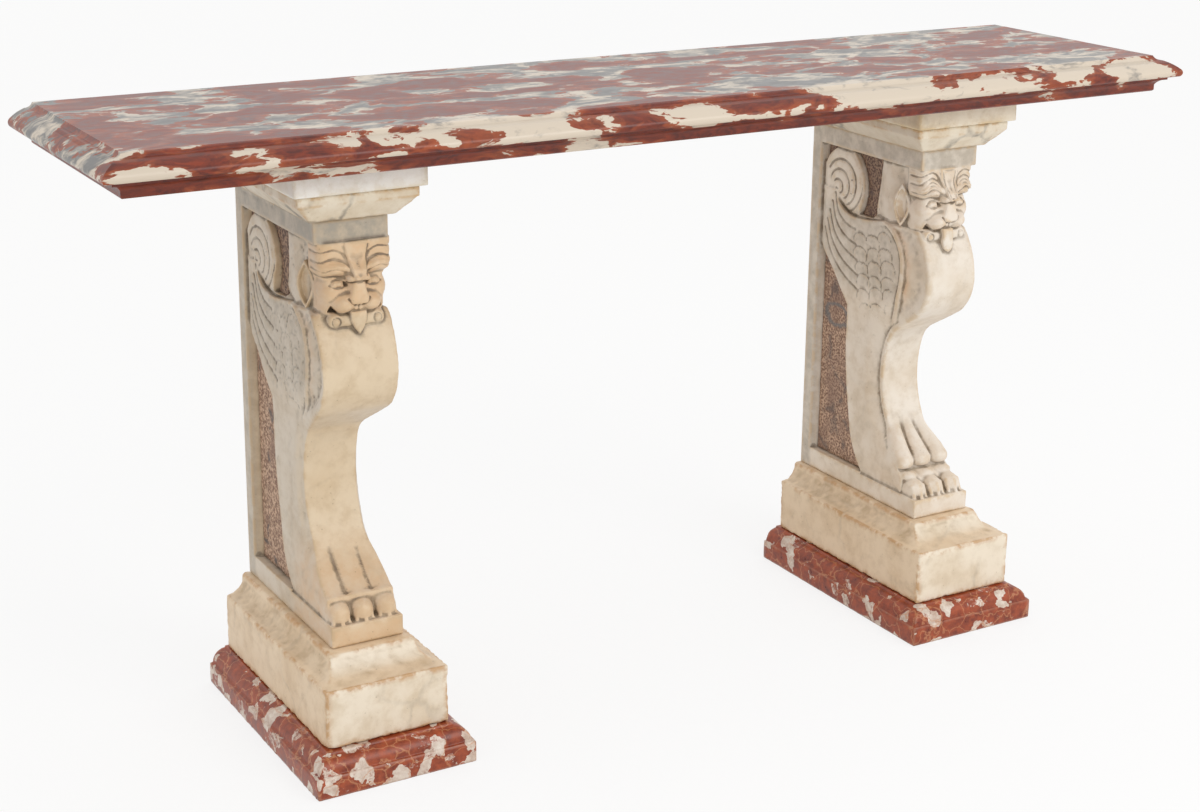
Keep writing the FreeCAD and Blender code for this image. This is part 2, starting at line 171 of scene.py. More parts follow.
def cut_stone(name, field, axes, thinning):
    """A mesh round the space where the field is below nought, with its hollows and its edges marked."""
    step = float(axes[0][1] - axes[0][0])
    band = BAND_CELLS * step
    field = np.clip(field, -band, band).astype(np.float32)
    grid = openvdb.FloatGrid(band)
    grid.copyFromArray(field)
    points, triangles, quads = grid.convertToPolygons(isovalue=0.0, adaptivity=thinning)
    curve = (spread(field, BEND_CELLS) - field) / step
    cells = np.floor(points).astype(int)
    part = points - cells
    bend = np.zeros(len(points))
    for corner in np.ndindex(2, 2, 2):
        weight = np.prod(np.where(corner, part, 1 - part), 1)
        bend += weight * curve[tuple(np.minimum(cells + corner, np.array(field.shape) - 1).T)]
    mesh = bpy.data.meshes.new(name)
    start = np.array([axis[0] for axis in axes])
    mesh.from_pydata((points * step + start) * MM, [], triangles.tolist() + quads.tolist())
    # The hollow amount later darkens the marbles in their creases: partly brown grime, partly painted
    # shade.
    mark(mesh, "hollow", np.clip(-bend, 0, 1))
    mark(mesh, "edge", np.clip(bend, 0, 1))
    mesh.shade_smooth()
    piece = bpy.data.objects.new(name, mesh)
    bpy.context.scene.collection.objects.link(piece)
    return piece


def moulded_block(name, node, side_profile, front_profile, wear, seed):
    """A stone moulded on its sides and front, each profile a list of (inset, height) from the bed up."""
    low, high = node_box(node)
    axes = grid_lines(low, high, PLAIN_STEP)
    rise = axes[2] - low[2]
    half, deep = (high[0] - low[0]) / 2, high[1] - low[1]
    across = axes[0] - (low[0] + high[0]) / 2
    back = (high[1] - axes[1])[::-1]
    side_line = [(half - inset, height) for inset, height in side_profile]
    side_line += [(inset - half, height) for inset, height in side_profile[::-1]]
    front_line = [(deep - inset, height) for inset, height in front_profile]
    front_line += [(0, front_line[-1][1]), (0, front_line[0][1])]
    side = outside(np.meshgrid(across, rise, indexing="ij"), side_line)
    front = outside(np.meshgrid(back, rise, indexing="ij"), front_line)[::-1]
    body = soft_max(side[:, None, :], front[None, :, :], EDGE_ROUND).astype(np.float32)
    arris = np.clip((spread(body, BEND_CELLS) - body) / PLAIN_STEP - ARRIS_FROM, 0, 1)
    chips = np.maximum(lumps(axes, CHIP_SIZE, seed + 2) - CHIP_FROM, 0)
    chips = chips + NICK_SHARE * np.maximum(lumps(axes, NICK_SIZE, seed + 3), 0)
    dents = np.maximum(lumps(axes, DENT_SIZE, seed) - DENT_FROM, 0)
    body += wear * (dents + RIPPLE_SHARE * lumps(axes, RIPPLE_SIZE, seed + 1))
    body += wear * CHIP_DEPTH * arris * chips
    box = np.maximum(np.abs(across)[:, None, None] - half, np.maximum(-rise, rise - high[2] + low[2]))
    limits = np.maximum(box, np.maximum(-back[::-1], back[::-1] - deep)[:, None])
    return cut_stone(name, np.maximum(body, limits), axes, PLAIN_THINNING)


def seat(piece, material, slot, *nodes):
    """Gives a piece its material and puts it in place of its nodes."""
    piece.data.materials.append(material)
    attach(piece, "root")
    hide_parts(*nodes)


def linear(code):
    """A hex colour as the linear values that shaders take."""
    parts = [int(code[i:i + 2], 16) / 255 for i in (1, 3, 5)]
    return [c / 12.92 if c <= 0.04045 else ((c + 0.055) / 1.055) ** 2.4 for c in parts] + [1.0]


def fill(tree, node, inputs):
    """Fills the sockets of a shader node with values, or with links from other nodes."""
    for socket, value in inputs.items():
        if isinstance(value, bpy.types.NodeSocket):
            tree.links.new(value, node.inputs[socket])
        else:
            node.inputs[socket].default_value = value


# A number stands for a socket by its order. A MapRange takes as 0 to 4 its value, the two ends it comes
# from and the two it goes to. A Mix of colours takes its share as 0 and its colours as 6 and 7, and its
# colour is output 2.
def add(tree, kind, inputs, output=0, **settings):
    """Adds a shader node with its settings, its values and its links, and returns one of its outputs."""
    new = tree.nodes.new("ShaderNode" + kind)
    for name, value in settings.items():
        setattr(new, name, value)
    fill(tree, new, inputs)
    return new.outputs[output]


def start_material(name):
    """A new material: itself, its tree, its shader and the object's own coordinates in metres."""
    material = bpy.data.materials.new(name)
    material.use_nodes = True
    tree = material.node_tree
    return material, tree, tree.nodes["Principled BSDF"], add(tree, "TexCoord", {}, "Object")


RGBA = {"data_type": "RGBA"}
SMOOTH = {"interpolation_type": "SMOOTHSTEP"}
# Polished and honed stones bend light about as much as glass does.
STONE_IOR = 1.5
# The breccia's pattern: its clasts and their ragged edges, the net of veins, the clouds in the mud, and
# over what length and how far all of it is bent.
CLAST = 21
CLAST_EDGE = 9
VEIN_NET = 42
MUD_CLOUD = 16
MUD_BEND = 22
MUD_REACH = 30


def red_breccia():
    """Waxed red breccia: orange red mud that holds angular white clasts and thin orange veins. The wax
    gives a low, uneven shine, and the rubbed arrises are paler."""
    material, tree, shader, place = start_material("red_breccia_waxed")
    warp = add(tree, "TexNoise", {"Vector": place, "Scale": 1 / (MUD_BEND * MM), "Detail": 7.0}, "Color")
    moved = add(tree, "VectorMath", {0: warp, 1: [MUD_REACH * MM] * 3, 2: place}, operation="MULTIPLY_ADD")
    lump = add(tree, "TexVoronoi", {"Vector": moved, "Scale": 1 / (CLAST * MM)}, "Color")
    pick = add(tree, "SeparateColor", {0: lump})
    ragged = add(tree, "TexNoise", {"Vector": moved, "Scale": 1 / (CLAST_EDGE * MM), "Detail": 6.0,
                                    "Roughness": 0.7})
    pick = add(tree, "Math", {0: ragged, 1: 0.5, 2: pick}, operation="MULTIPLY_ADD")
    white = add(tree, "MapRange", {0: pick, 1: 1.01, 2: 1.09}, **SMOOTH)
    cell = add(tree, "TexVoronoi", {"Vector": moved, "Scale": 1 / (VEIN_NET * MM)},
               feature="DISTANCE_TO_EDGE")
    vein = add(tree, "MapRange", {0: cell, 1: 0.0, 2: 0.03, 3: 0.7, 4: 0.0})
    cloud = add(tree, "TexNoise", {"Vector": place, "Scale": 1 / (MUD_CLOUD * MM), "Detail": 7.0,
                                   "Roughness": 0.7})
    depth = add(tree, "MapRange", {0: cloud, 1: 0.32, 2: 0.68})
    red = add(tree, "Mix", {0: depth, 6: linear("#6a220d"), 7: linear("#b0522b")}, 2, **RGBA)
    pale = add(tree, "Mix", {0: depth, 6: linear("#b99a86"), 7: linear("#eee5d8")}, 2, **RGBA)
    stone = add(tree, "Mix", {0: white, 6: red, 7: pale}, 2, **RGBA)
    veined = add(tree, "Mix", {0: vein, 6: stone, 7: linear("#c88a60")}, 2, **RGBA)
    edge = add(tree, "Attribute", {}, "Fac", attribute_name="edge")
    nick = add(tree, "MapRange", {0: edge, 1: 0.3, 2: 0.9, 3: 0.0, 4: 0.3})
    worn = add(tree, "Mix", {0: nick, 6: veined, 7: linear("#d3a98b")}, 2, **RGBA)
    gloss = add(tree, "MapRange", {0: cloud, 1: 0.3, 2: 0.7, 3: 0.26, 4: 0.44})
    relief = add(tree, "Bump", {"Height": cloud, "Strength": 0.25, "Distance": 0.6 * MM})
    fill(tree, shader, {"Base Color": worn, "Roughness": gloss, "Normal": relief, "IOR": STONE_IOR})
    return material


breccia = red_breccia()
round_foot = (BASE_LEDGE, BASE_FASCIA)
round_top = (BASE_LEDGE + BASE_ROUND, BASE_FASCIA + BASE_ROUND)
for side, seed in BASE_SEEDS.items():
    profile = [(0, 0), (0, BASE_FASCIA)] + bow(round_foot, round_top, -BASE_ROUND)
    profile += [(round_top[0], node_height("base_" + side))]
    block = moulded_block("base_block_" + side, "base_" + side, profile, profile, BASE_WEAR, seed)
    seat(block, breccia, "red_breccia", "base_" + side)

# Cream marble plinths
# One block under each support, with an upright face, a hollow that runs deeper at the front and a small
# roll under the foot. The marble is honed and its arrises are chipped and stained with ochre.
PLINTH_FACE = 85
PLINTH_LEDGE = 2
PLINTH_ROLL = 6
PLINTH_WEAR = 0.9
PLINTH_SEEDS = {"left": 23, "right": 33}
# How far the hollow runs in and its radius, at the sides and at the front.
PLINTH_HOLLOWS = ((24, 24.5), (45, 46))
# The old marble's pattern: drifts of colour, blotches, the net of veins and how it bends, and pits. Its own
# grain is well under a millimetre and wouldn't show, so it is drawn as coarse as 5 mm.
DRIFT = 100
BLOTCH = 25
VEIN_CELL = 100
VEIN_BEND = 70
PIT = 9
MARBLE_GRAIN = 5


# The side colour is partly painted shade, taken by every face that turns away from the front, tops as well.
def old_marble(name, front, side, ochre, grime_and_shade, vein_share, gloss):
    """Old marble, worked fine and left without polish: a soft broad sheen, warm in front and greyer on
    its sides and tops, partly painted shade, with veins, ochre arrises, hollows darkened by brown grime
    and painted shade, and grey or tan where the mesh is so marked."""
    material, tree, shader, place = start_material(name)
    cloud = add(tree, "TexNoise", {"Vector": place, "Scale": 1 / (DRIFT * MM), "Detail": 7.0,
                                   "Roughness": 0.6})
    blotch = add(tree, "TexNoise", {"Vector": place, "Scale": 1 / (BLOTCH * MM), "Detail": 6.0,
                                    "Roughness": 0.65})
    grain = add(tree, "TexNoise", {"Vector": place, "Scale": 1 / (MARBLE_GRAIN * MM), "Detail": 5.0,
                                   "Roughness": 0.7})
    way = add(tree, "SeparateXYZ", {0: add(tree, "TexCoord", {}, "Normal")}, "Y")
    # Painted shade: faces turned away from the front take the darker side colour instead of the front one.
    painted_light_facing = add(tree, "MapRange", {0: way, 1: -0.25, 2: -0.8}, **SMOOTH)
    body = add(tree, "Mix", {0: painted_light_facing, 6: linear(side), 7: linear(front)}, 2, **RGBA)
    drift = add(tree, "MapRange", {0: cloud, 1: 0.4, 2: 0.66, 3: 0.0, 4: 0.4}, **SMOOTH)
    body = add(tree, "Mix", {0: drift, 6: body, 7: linear("#dfd0b8")}, 2, blend_type="MULTIPLY", **RGBA)
    mottle = add(tree, "MapRange", {0: blotch, 1: 0.42, 2: 0.7, 3: 0.0, 4: 0.3}, **SMOOTH)
    body = add(tree, "Mix", {0: mottle, 6: body, 7: linear("#dcd3c4")}, 2, blend_type="MULTIPLY", **RGBA)
    patch = add(tree, "MapRange", {0: blotch, 1: 0.35, 2: 0.6, 3: 0.45, 4: 1.0})
    for stain, colour in (("grey", "#a59d90"), ("tan", "#e4bb8f")):
        share = add(tree, "Attribute", {}, "Fac", attribute_name=stain)
        share = add(tree, "Math", {0: share, 1: patch}, operation="MULTIPLY")
        body = add(tree, "Mix", {0: share, 6: body, 7: linear(colour)}, 2, **RGBA)
    warp = add(tree, "TexNoise", {"Vector": place, "Scale": 1 / (VEIN_BEND * MM), "Detail": 5.0}, "Color")
    moved = add(tree, "VectorMath", {0: warp, 1: [VEIN_BEND * MM] * 3, 2: place}, operation="MULTIPLY_ADD")
    crack = add(tree, "TexVoronoi", {"Vector": moved, "Scale": 1 / (VEIN_CELL * MM)},
                feature="DISTANCE_TO_EDGE")
    vein = add(tree, "MapRange", {0: crack, 1: 0.0, 2: 0.06, 3: 2 * vein_share, 4: 0.0}, **SMOOTH)
    vein = add(tree, "Math", {0: vein, 1: drift}, operation="MULTIPLY")
    body = add(tree, "Mix", {0: vein, 6: body, 7: linear("#57534f")}, 2, **RGBA)
    edge = add(tree, "Attribute", {}, "Fac", attribute_name="edge")
    worn = add(tree, "MapRange", {0: edge, 1: 0.1, 2: 0.55, 3: 0.0, 4: 0.7})
    rubbed = add(tree, "MapRange", {0: blotch, 1: 0.42, 2: 0.56})
    worn = add(tree, "Math", {0: worn, 1: rubbed}, operation="MULTIPLY")
    body = add(tree, "Mix", {0: worn, 6: body, 7: linear(ochre)}, 2, **RGBA)
    # Hollows darken towards the brown colour given for them: partly grime in the grooves, partly painted
    # shade.
    sunk = add(tree, "Attribute", {}, "Fac", attribute_name="hollow")
    crease_grime_and_shade = add(tree, "MapRange", {0: sunk, 1: 0.03, 2: 0.36, 3: 0.0, 4: 0.85})
    crease_grime_and_shade = add(tree, "Math", {0: crease_grime_and_shade, 1: patch}, operation="MULTIPLY")
    body = add(tree, "Mix", {0: crease_grime_and_shade, 6: body, 7: linear(grime_and_shade)}, 2, **RGBA)
    pit = add(tree, "TexVoronoi", {"Vector": place, "Scale": 1 / (PIT * MM), "Randomness": 1.0})
    speck = add(tree, "MapRange", {0: pit, 1: 0.07, 2: 0.14, 3: 1.6, 4: 0.0})
    speck = add(tree, "Math", {0: speck, 1: mottle}, operation="MULTIPLY")
    body = add(tree, "Mix", {0: speck, 6: body, 7: linear("#7c684c")}, 2, **RGBA)
    sheen = add(tree, "MapRange", {0: grain, 1: 0.3, 2: 0.7, 3: gloss, 4: gloss + 0.2})
    skin = add(tree, "Math", {0: speck, 1: -2.0, 2: grain}, operation="MULTIPLY_ADD")
    relief = add(tree, "Bump", {"Height": skin, "Strength": 0.4, "Distance": 0.8 * MM})
    fill(tree, shader, {"Base Color": body, "Roughness": sheen, "Normal": relief, "IOR": STONE_IOR})
    return material


# Honed cream marble: a yellowed, even face with strong ochre along every worn arris. Its darker side
# colour is partly painted shade, and its hollows take brown grime and painted shade.
plinth_marble = old_marble("cream_marble_honed", "#efe2cd", "#ead3b4", "#c08c50", "#a08358", 0.2, 0.32)
for side, seed in PLINTH_SEEDS.items():
    plinth_high = node_height("plinth_" + side)
    profiles = []
    for run, hollow in PLINTH_HOLLOWS:
        roll_foot = (PLINTH_LEDGE + run, plinth_high - PLINTH_ROLL)
        profile = [(0, 0), (0, PLINTH_FACE)] + bow((PLINTH_LEDGE, PLINTH_FACE), roll_foot, hollow)
        profiles.append(profile + bow(roll_foot, (roll_foot[0] + PLINTH_ROLL, plinth_high), -PLINTH_ROLL))
    block = moulded_block("plinth_block_" + side, "plinth_" + side, *profiles, PLINTH_WEAR, seed)
    seat(block, plinth_marble, "cream_marble", "plinth_" + side)

# Carved winged lion supports
# Each is carved from one block of white marble and pinned on its plinth: a pilaster and rails frame a lion
# with one leg, a wing that curls into a scroll, and a mask. The right one is crisp, the left one rubbed.

# Places on a support are (depth from its back, height above the plinth). With three numbers, the first is
# the distance to the side of its middle. A half is measured from the middle too. A run gives the two places
# between which something comes or goes.
CARVE_STEP = 1.25
CARVE_THINNING = 0.05
SUPPORT_HALF = 53.5
WIDEST_HALF = 59.5
PILASTER = 23
PILASTER_SPLAY = 6
PILASTER_PROUD = 8
TOP_RAIL = 32
BOTTOM_RAIL = 33
BOTTOM_RAIL_DEPTH = 165
BLOCK_DEPTH = 285
FOOT_DEPTH = 312
FOOT_HEIGHT = 30
FIELD_HALF = 35.4
LEG_HALF = 47.5
FLANK_HALF = 51
# How the two lions differ. Crisp is how sharp the cutting still is, arris rounds the edge of the chest,
# chest and mane are halves, instep is the foot of the instep's arc, and the last four are shares of stain.
LIONS = {
    "left": {
        "crisp": 0.55, "beaded": False, "pointed": True, "wear": 0.5, "seed": 43,
        "chest": 55.5, "arris": 4, "mane": 54, "mask_shift": (4, 3, -5.5),
        "instep": (289, 62), "instep_round": 260,
        "grey": 0.95, "tan_face": 0.6, "tan_foot": 0.5, "tan_band": 0.3,
    },
    "right": {
        "crisp": 1.0, "beaded": True, "pointed": False, "wear": 0.3, "seed": 53,
        "chest": 48, "arris": 8, "mane": 51, "mask_shift": (-1, 0, -5.5),
        "instep": (270, 55), "instep_round": 250,
        "grey": 0.6, "tan_face": 0.15, "tan_foot": 0.1, "tan_band": 0.7,
    },
}


def ease(value, low, high):
    """Goes smoothly from nought at one value to one at another, which may be the lower of the two."""
    part = np.clip((value - low) / (high - low), 0, 1)
    return part * part * (3 - 2 * part)


def flow(points):
    """A line through the points with its corners cut until it runs smoothly."""
    line = np.array(points, float)
    for _ in range(3):
        pairs = np.stack([0.75 * line[:-1] + 0.25 * line[1:], 0.25 * line[:-1] + 0.75 * line[1:]], 1)
        line = np.concatenate([line[:1], pairs.reshape(-1, 2), line[-1:]])
    return line


def soft_min(a, b, width):
    """The smaller of two fields, with the seam where they meet filled over a width."""
    return -soft_max(-a, -b, width)


def groove(plane, points, width):
    """One on a smooth line through the points, falling to nought about a width away."""
    return np.exp(-(near(plane, flow(points), 4 * width) / width) ** 2)


def hump(value):
    """A half round: one in the middle, nought at one to either side."""
    return np.sqrt(np.clip(1 - value * value, 0, 1))


# The leg and chest seen from the side, from the top of the instep up.
INSTEP_TOP = (215, 130)
SHANK_TOP = (200, 258)
KNEE = (226, 293)
BELLY = (272, 322)
CHEST = (308, 400)
THROAT = (262, 478)
SHANK_ROUND = 155
KNEE_ROUND = 55
BELLY_ROUND = 75
CHEST_ROUND = 115


def leg_outline(height, lion):
    """The lion's side view from the foot up: instep, shank, hollow of the knee, belly, chest and throat."""
    line = [(0, 0), (lion["instep"][0], 0)]
    line += bow(lion["instep"], INSTEP_TOP, -lion["instep_round"])
    line += bow(INSTEP_TOP, SHANK_TOP, -SHANK_ROUND)
    line += bow(SHANK_TOP, KNEE, -KNEE_ROUND)
    line += bow(BELLY, CHEST, BELLY_ROUND)
    line += bow(CHEST, THROAT, CHEST_ROUND)
    return line + [(THROAT[0], height), (0, height)]


# The fields for the brown stone. The corner and the strip lie on two sides of the scroll.
SCROLL_AT = (82, 513)
SCROLL_ROUND = 53
CORNER_FOOT = (33, 533)
CORNER_TOP = 72
STRIP_FOOT = ((124, 463), (160, 463))
STRIP_TOP = (104, 178)
STRIP_ROUND = 72
FIELD_FOOT = 163
FIELD_SHANK = (118, 130)
FIELD_WAIST = (105, 308)
FIELD_TOP = 400
FIELD_ROUNDS = (190, 600, 400)


def sunk_fields(rail):
    """Outlines of the fields for brown stone: behind the scroll, between scroll and neck, by the leg."""
    corner = [(PILASTER, CORNER_FOOT[1])] + bow(CORNER_FOOT, (CORNER_TOP, rail), -SCROLL_ROUND)
    strip = [*STRIP_FOOT, (STRIP_TOP[1], rail)] + bow((STRIP_TOP[0], rail), STRIP_FOOT[0], -STRIP_ROUND)
    field = [(PILASTER, BOTTOM_RAIL)] + bow((FIELD_FOOT, BOTTOM_RAIL), FIELD_SHANK, -FIELD_ROUNDS[0])
    field += bow(FIELD_SHANK, FIELD_WAIST, -FIELD_ROUNDS[1])
    field += bow(FIELD_WAIST, (PILASTER, FIELD_TOP), FIELD_ROUNDS[2])
    return {"corner": corner + [(PILASTER, rail)], "strip": strip, "field": field}


# The scroll's spiral groove, and how far along it the short cross cuts stand.
SPIRAL_POINTS = 200
SPIRAL_TURNS = 3.2
SPIRAL_RADIUS = 42
SPIRAL_REACH = 9
SPIRAL_FROM = math.radians(150)
SPIRAL_START = np.array([82, 507])
SPIRAL_EYE = np.array([66, 493])
SPIRAL_SWELL = 0.4
SPIRAL_CRISP_SWELL = 0.8
SPIRAL_SWELL_RUN = (0, 6)
SPIRAL_DEPTH = 2.0
SPIRAL_WIDTH = 2
SPIRAL_DEEPEST = math.radians(35)
SPIRAL_SHALLOW = 0.15
SPIRAL_SHALLOW_RUN = (-0.55, 0.3)
SPIRAL_CUTS = (0.11, 0.15, 0.18, 0.42, 0.47, 0.73)
SPIRAL_CUT_SHARE = 0.25
SPIRAL_CUT_WIDTH = 1.3


def scroll_relief(plane, crisp):
    """The curl of the wing's tip: a spiral groove that fades where it turns down, with short cross cuts."""
    turn = np.linspace(0, 1, SPIRAL_POINTS)[:, None]
    angle = SPIRAL_FROM - turn * SPIRAL_TURNS * 2 * math.pi
    middle = SPIRAL_START + turn * (SPIRAL_EYE - SPIRAL_START)
    spiral = middle + SPIRAL_RADIUS * (1 - turn) * np.concatenate([np.cos(angle), np.sin(angle)], 1)
    gap = near(plane, spiral, SPIRAL_REACH)
    way = np.arctan2(plane[1] - SPIRAL_EYE[1], plane[0] - SPIRAL_EYE[0])
    deep = SPIRAL_SHALLOW + (1 - SPIRAL_SHALLOW) * ease(np.cos(way - SPIRAL_DEEPEST), *SPIRAL_SHALLOW_RUN)
    relief = (SPIRAL_SWELL + SPIRAL_CRISP_SWELL * crisp) * ease(gap, *SPIRAL_SWELL_RUN)
    relief = relief - SPIRAL_DEPTH * crisp * deep * np.exp(-(gap / SPIRAL_WIDTH) ** 2)
    for share in SPIRAL_CUTS:
        spot = int(share * len(turn))
        inward = spiral[spot] + SPIRAL_CUT_SHARE * (middle[spot] - spiral[spot])
        relief = relief - crisp * groove(plane, [spiral[spot], inward], SPIRAL_CUT_WIDTH)
    return relief


# Long feathers run side by side, each a step below the one before. Coverts stand in rows in front of them.
FEATHERS = 5
FEATHER_FIRST = np.array([(64, 488), (70, 461), (85, 447), (104, 440), (120, 438)])
FEATHER_STEP = np.array([(-6.5, -16), (-4.5, -17), (-2.5, -20), (0, -22.5), (4, -25)])
FEATHER_REACH = 10
FEATHER_RISE = 1.3
FEATHER_RUN = (0, 8)
FEATHER_SEAM = 2.3
COVERT_ROWS = 6
COVERT_COLUMNS = 3
COVERT_FIRST = np.array([136, 431])
COVERT_DOWN = np.array([4.5, -22])
COVERT_ACROSS = np.array([32, 7])
COVERT_STRAY = 3
COVERT_SEED = 7
COVERT_HALF = 16.5
COVERT_REACH = 14
COVERT_RISE = 0.7
COVERT_FADE = 7
COVERT_SEAM = 0.55
COVERT_SEAM_WIDTH = 3
COVERT_RIM = np.array([(-17, -14), (-15, -4), (-5, 1), (7, 0), (15, -4), (16, -14)])


def wing_relief(plane, crisp):
    """The wing below its shelf: long feathers that sweep up to the scroll, and rows of coverts in front."""
    d, h = plane
    gap = np.full(d.shape, FEATHER_REACH, np.float32)
    for number in range(FEATHERS):
        gap = np.minimum(gap, near(plane, flow(FEATHER_FIRST + number * FEATHER_STEP), FEATHER_REACH))
    seam = np.exp(-(gap / FEATHER_SEAM) ** 2)
    relief = FEATHER_RISE * ease(gap, *FEATHER_RUN) - FEATHER_RISE * crisp * seam
    chance = np.random.default_rng(COVERT_SEED)
    for row in range(COVERT_ROWS):
        for column in range(COVERT_COLUMNS):
            tip = COVERT_FIRST + row * COVERT_DOWN + column * COVERT_ACROSS
            tip = tip + chance.uniform(-COVERT_STRAY, COVERT_STRAY, 2)
            rim = flow(tip + COVERT_RIM)
            gap = near(plane, rim, COVERT_REACH)
            under = (np.abs(d - tip[0]) < COVERT_HALF) & (h < np.interp(d, rim[:, 0], rim[:, 1]))
            seam = COVERT_SEAM * np.exp(-(gap / COVERT_SEAM_WIDTH) ** 2)
            relief += crisp * np.where(under, COVERT_RISE * np.exp(-gap / COVERT_FADE), -seam)
    return relief


# The shelf over the wing, with a drop above it, and the bead in front of the wing, from neck to knee.
SHELF = ((64, 492), (70, 479), (82, 467), (100, 459), (122, 457), (150, 460), (178, 464), (206, 470))
SHELF_REACH = 40
SHELF_DROP = 9
SHELF_FADE = 8
SHELF_BACK_RUN = (64, 84)
SHELF_FRONT_RUN = (206, 184)
SHELF_OVER = 600
BEAD = ((190, 466), (206, 464), (222, 454), (238, 437), (247, 413), (248, 388), (242, 355), (229, 320),
        (212, 285))
BEAD_REACH = 30
BEAD_RISE = 3
BEAD_RUN = (8, 1)
BEAD_FADE_RUN = (285, 345)
BEAD_GROOVE = 1.1
BEAD_GROOVE_BACK = (7.5, 1)
BEAD_GROOVE_WIDTH = 3
# The leg thins towards its edge, or sinks to a bead along it, and thickens to the ankle. Above the shoulder
# the chest takes over, with a dip along its edge.
LEG_EDGE_FALL = 8
LEG_EDGE_RUN = 20
LEG_HOLLOW_HALF = 35
LEG_HOLLOW_RUN = (4, 36)
LEG_BEAD_HALF = 34
LEG_BEAD_RISE = 3
LEG_BEAD_ROUND = 5
ANKLE_HALF = 50
ANKLE_RUN = (128, 72)
SHOULDER_RUN = (276, 334)
CHEST_EDGE_RUN = 30
CHEST_DIP = 4.5
CHEST_DIP_RUN = (46, 2)
WING_RUN = (296, 336)
WING_FRONT_RUN = (10, 22)
WING_TOP = 495
NECK_MIDDLE = 198
NECK_HALF = 43
NECK_SWELL = 7
NECK_SWELL_RUN = (30, 6)
NECK_BACK_RUN = (150, 160)
NECK_FOOT_RUN = (464, 470)
SCROLL_RIM_RUN = (-2, 0)
SCROLL_WING_RUN = (555, 575)
SCROLL_EDGE_FALL = 2.5
SCROLL_EDGE_RUN = (6, 0)


def bead_depth(h):
    """How deep the bead in front of the wing lies at each height."""
    bead = flow(BEAD)[::-1]
    return np.interp(h, bead[:, 1], bead[:, 0])


def side_relief(plane, skin, lion):
    """How far the lion stands from the middle of the block, over its side view."""
    d, h = plane
    crisp = lion["crisp"]
    leg = LEG_HALF - LEG_EDGE_FALL * (1 - ease(skin, 0, LEG_EDGE_RUN))
    if lion["beaded"]:
        leg = LEG_HOLLOW_HALF + (LEG_HALF - LEG_HOLLOW_HALF) * ease(skin, *LEG_HOLLOW_RUN)
        leg = np.maximum(leg, LEG_BEAD_HALF + LEG_BEAD_RISE * hump(skin / LEG_BEAD_ROUND - 1))
    leg = leg + (ANKLE_HALF - leg) * ease(h, *ANKLE_RUN)
    chest = FLANK_HALF + (lion["chest"] - FLANK_HALF) * ease(skin, CHEST_EDGE_RUN, 0)
    chest = chest - CHEST_DIP * np.sin(math.pi * ease(skin, *CHEST_DIP_RUN))
    half = leg + (chest - leg) * ease(h, *SHOULDER_RUN)
    bead = flow(BEAD)
    fade = ease(h, *BEAD_FADE_RUN)
    half = half + (BEAD_RISE + crisp) * ease(near(plane, bead, BEAD_REACH), *BEAD_RUN) * fade
    half = half - BEAD_GROOVE * groove(plane, bead - BEAD_GROOVE_BACK, BEAD_GROOVE_WIDTH) * fade
    front = bead_depth(h)
    wing = ease(front - d, *WING_FRONT_RUN) * ease(h, *WING_RUN) * (h < WING_TOP)
    half = half + wing * wing_relief(plane, crisp)
    neck = ease(d, *NECK_BACK_RUN) * ease(h, *NECK_FOOT_RUN)
    swell = NECK_HALF + NECK_SWELL * ease(np.abs(d - NECK_MIDDLE), *NECK_SWELL_RUN)
    half = half + neck * (swell - half)
    curl = SCROLL_ROUND - np.hypot(d - SCROLL_AT[0], h - SCROLL_AT[1])
    edge = ease(curl, *SCROLL_RIM_RUN) * ease(d + h, *SCROLL_WING_RUN)
    scroll = FLANK_HALF - SCROLL_EDGE_FALL * ease(curl, *SCROLL_EDGE_RUN) + scroll_relief(plane, crisp)
    return half + edge * (scroll - half)


def ball(place, at, size):
    """How far a point is outside an egg shape, about."""
    x, d, h = [(p - a) / s for p, a, s in zip(place, at, size)]
    return (np.sqrt(x * x + d * d + h * h) - 1) * min(size)


def cushion(place, at, size, round_over):
    """How far a point is outside a block with rounded edges."""
    gaps = [np.abs(p - a) - s + round_over for p, a, s in zip(place, at, size)]
    beyond = np.sqrt(sum(np.maximum(gap, 0) ** 2 for gap in gaps))
    return beyond + np.minimum(np.maximum(np.maximum(gaps[0], gaps[1]), gaps[2]), 0) - round_over


def limb(place, start, end, first, last):
    """How far a point is outside a rounded bar that changes size along its way."""
    start, end = np.array(start, float), np.array(end, float)
    along = end - start
    share = sum((p - a) * g for p, a, g in zip(place, start, along)) / (along @ along)
    share = np.clip(share, 0, 1)
    gap = sum((p - a - share * g) ** 2 for p, a, g in zip(place, start, along))
    return np.sqrt(gap) - first - (last - first) * share


def circle_part(middle, radius, start, end, count):
    """Points on a circle between two angles, which are given in half turns."""
    angles = math.pi * np.linspace(start, end, count)
    return np.stack([middle[0] + radius * np.cos(angles), middle[1] + radius * np.sin(angles)], 1)


# Lines on the mask, one half of it, as (distance from the middle, height). The locks part the mane.
LOCKS = (
    ((56, 560), (48, 559), (42, 563), (32, 567), (22, 562), (16, 553)),
    ((56, 547), (48, 546), (42, 553), (31, 558), (20, 552), (12, 544), (9, 535)),
    ((56, 537), (48, 532), (43, 532), (37, 539), (30, 541), (22, 537), (14, 530)),
    ((56, 530), (47, 524), (40, 524), (33, 528), (25, 526), (16, 521)),
)
LOCK_SPOTS = np.arange(56, 7, -4)
LOCK_DEPTH = 0.8
LOCK_CRISP_DEPTH = 1.5
LOCK_WIDTH = 2.0
STRAND_PARTS = (0.35, 0.67)
STRAND_DEPTH = 0.9
STRAND_WIDTH = 1.3
MANE_FOOT_RUN = (518, 524)
FOREHEAD = ((-17, 572), (17, 572), (8, 523), (0, 520), (-8, 523))
FOREHEAD_RISE = 2.4
FOREHEAD_RUN = (1, -1)
FOREHEAD_BORDER = 1.3
FOREHEAD_BORDER_INSET = 3.5
FOREHEAD_BORDER_WIDTH = 1.6
FOREHEAD_MANE_RUN = (0.5, 3)
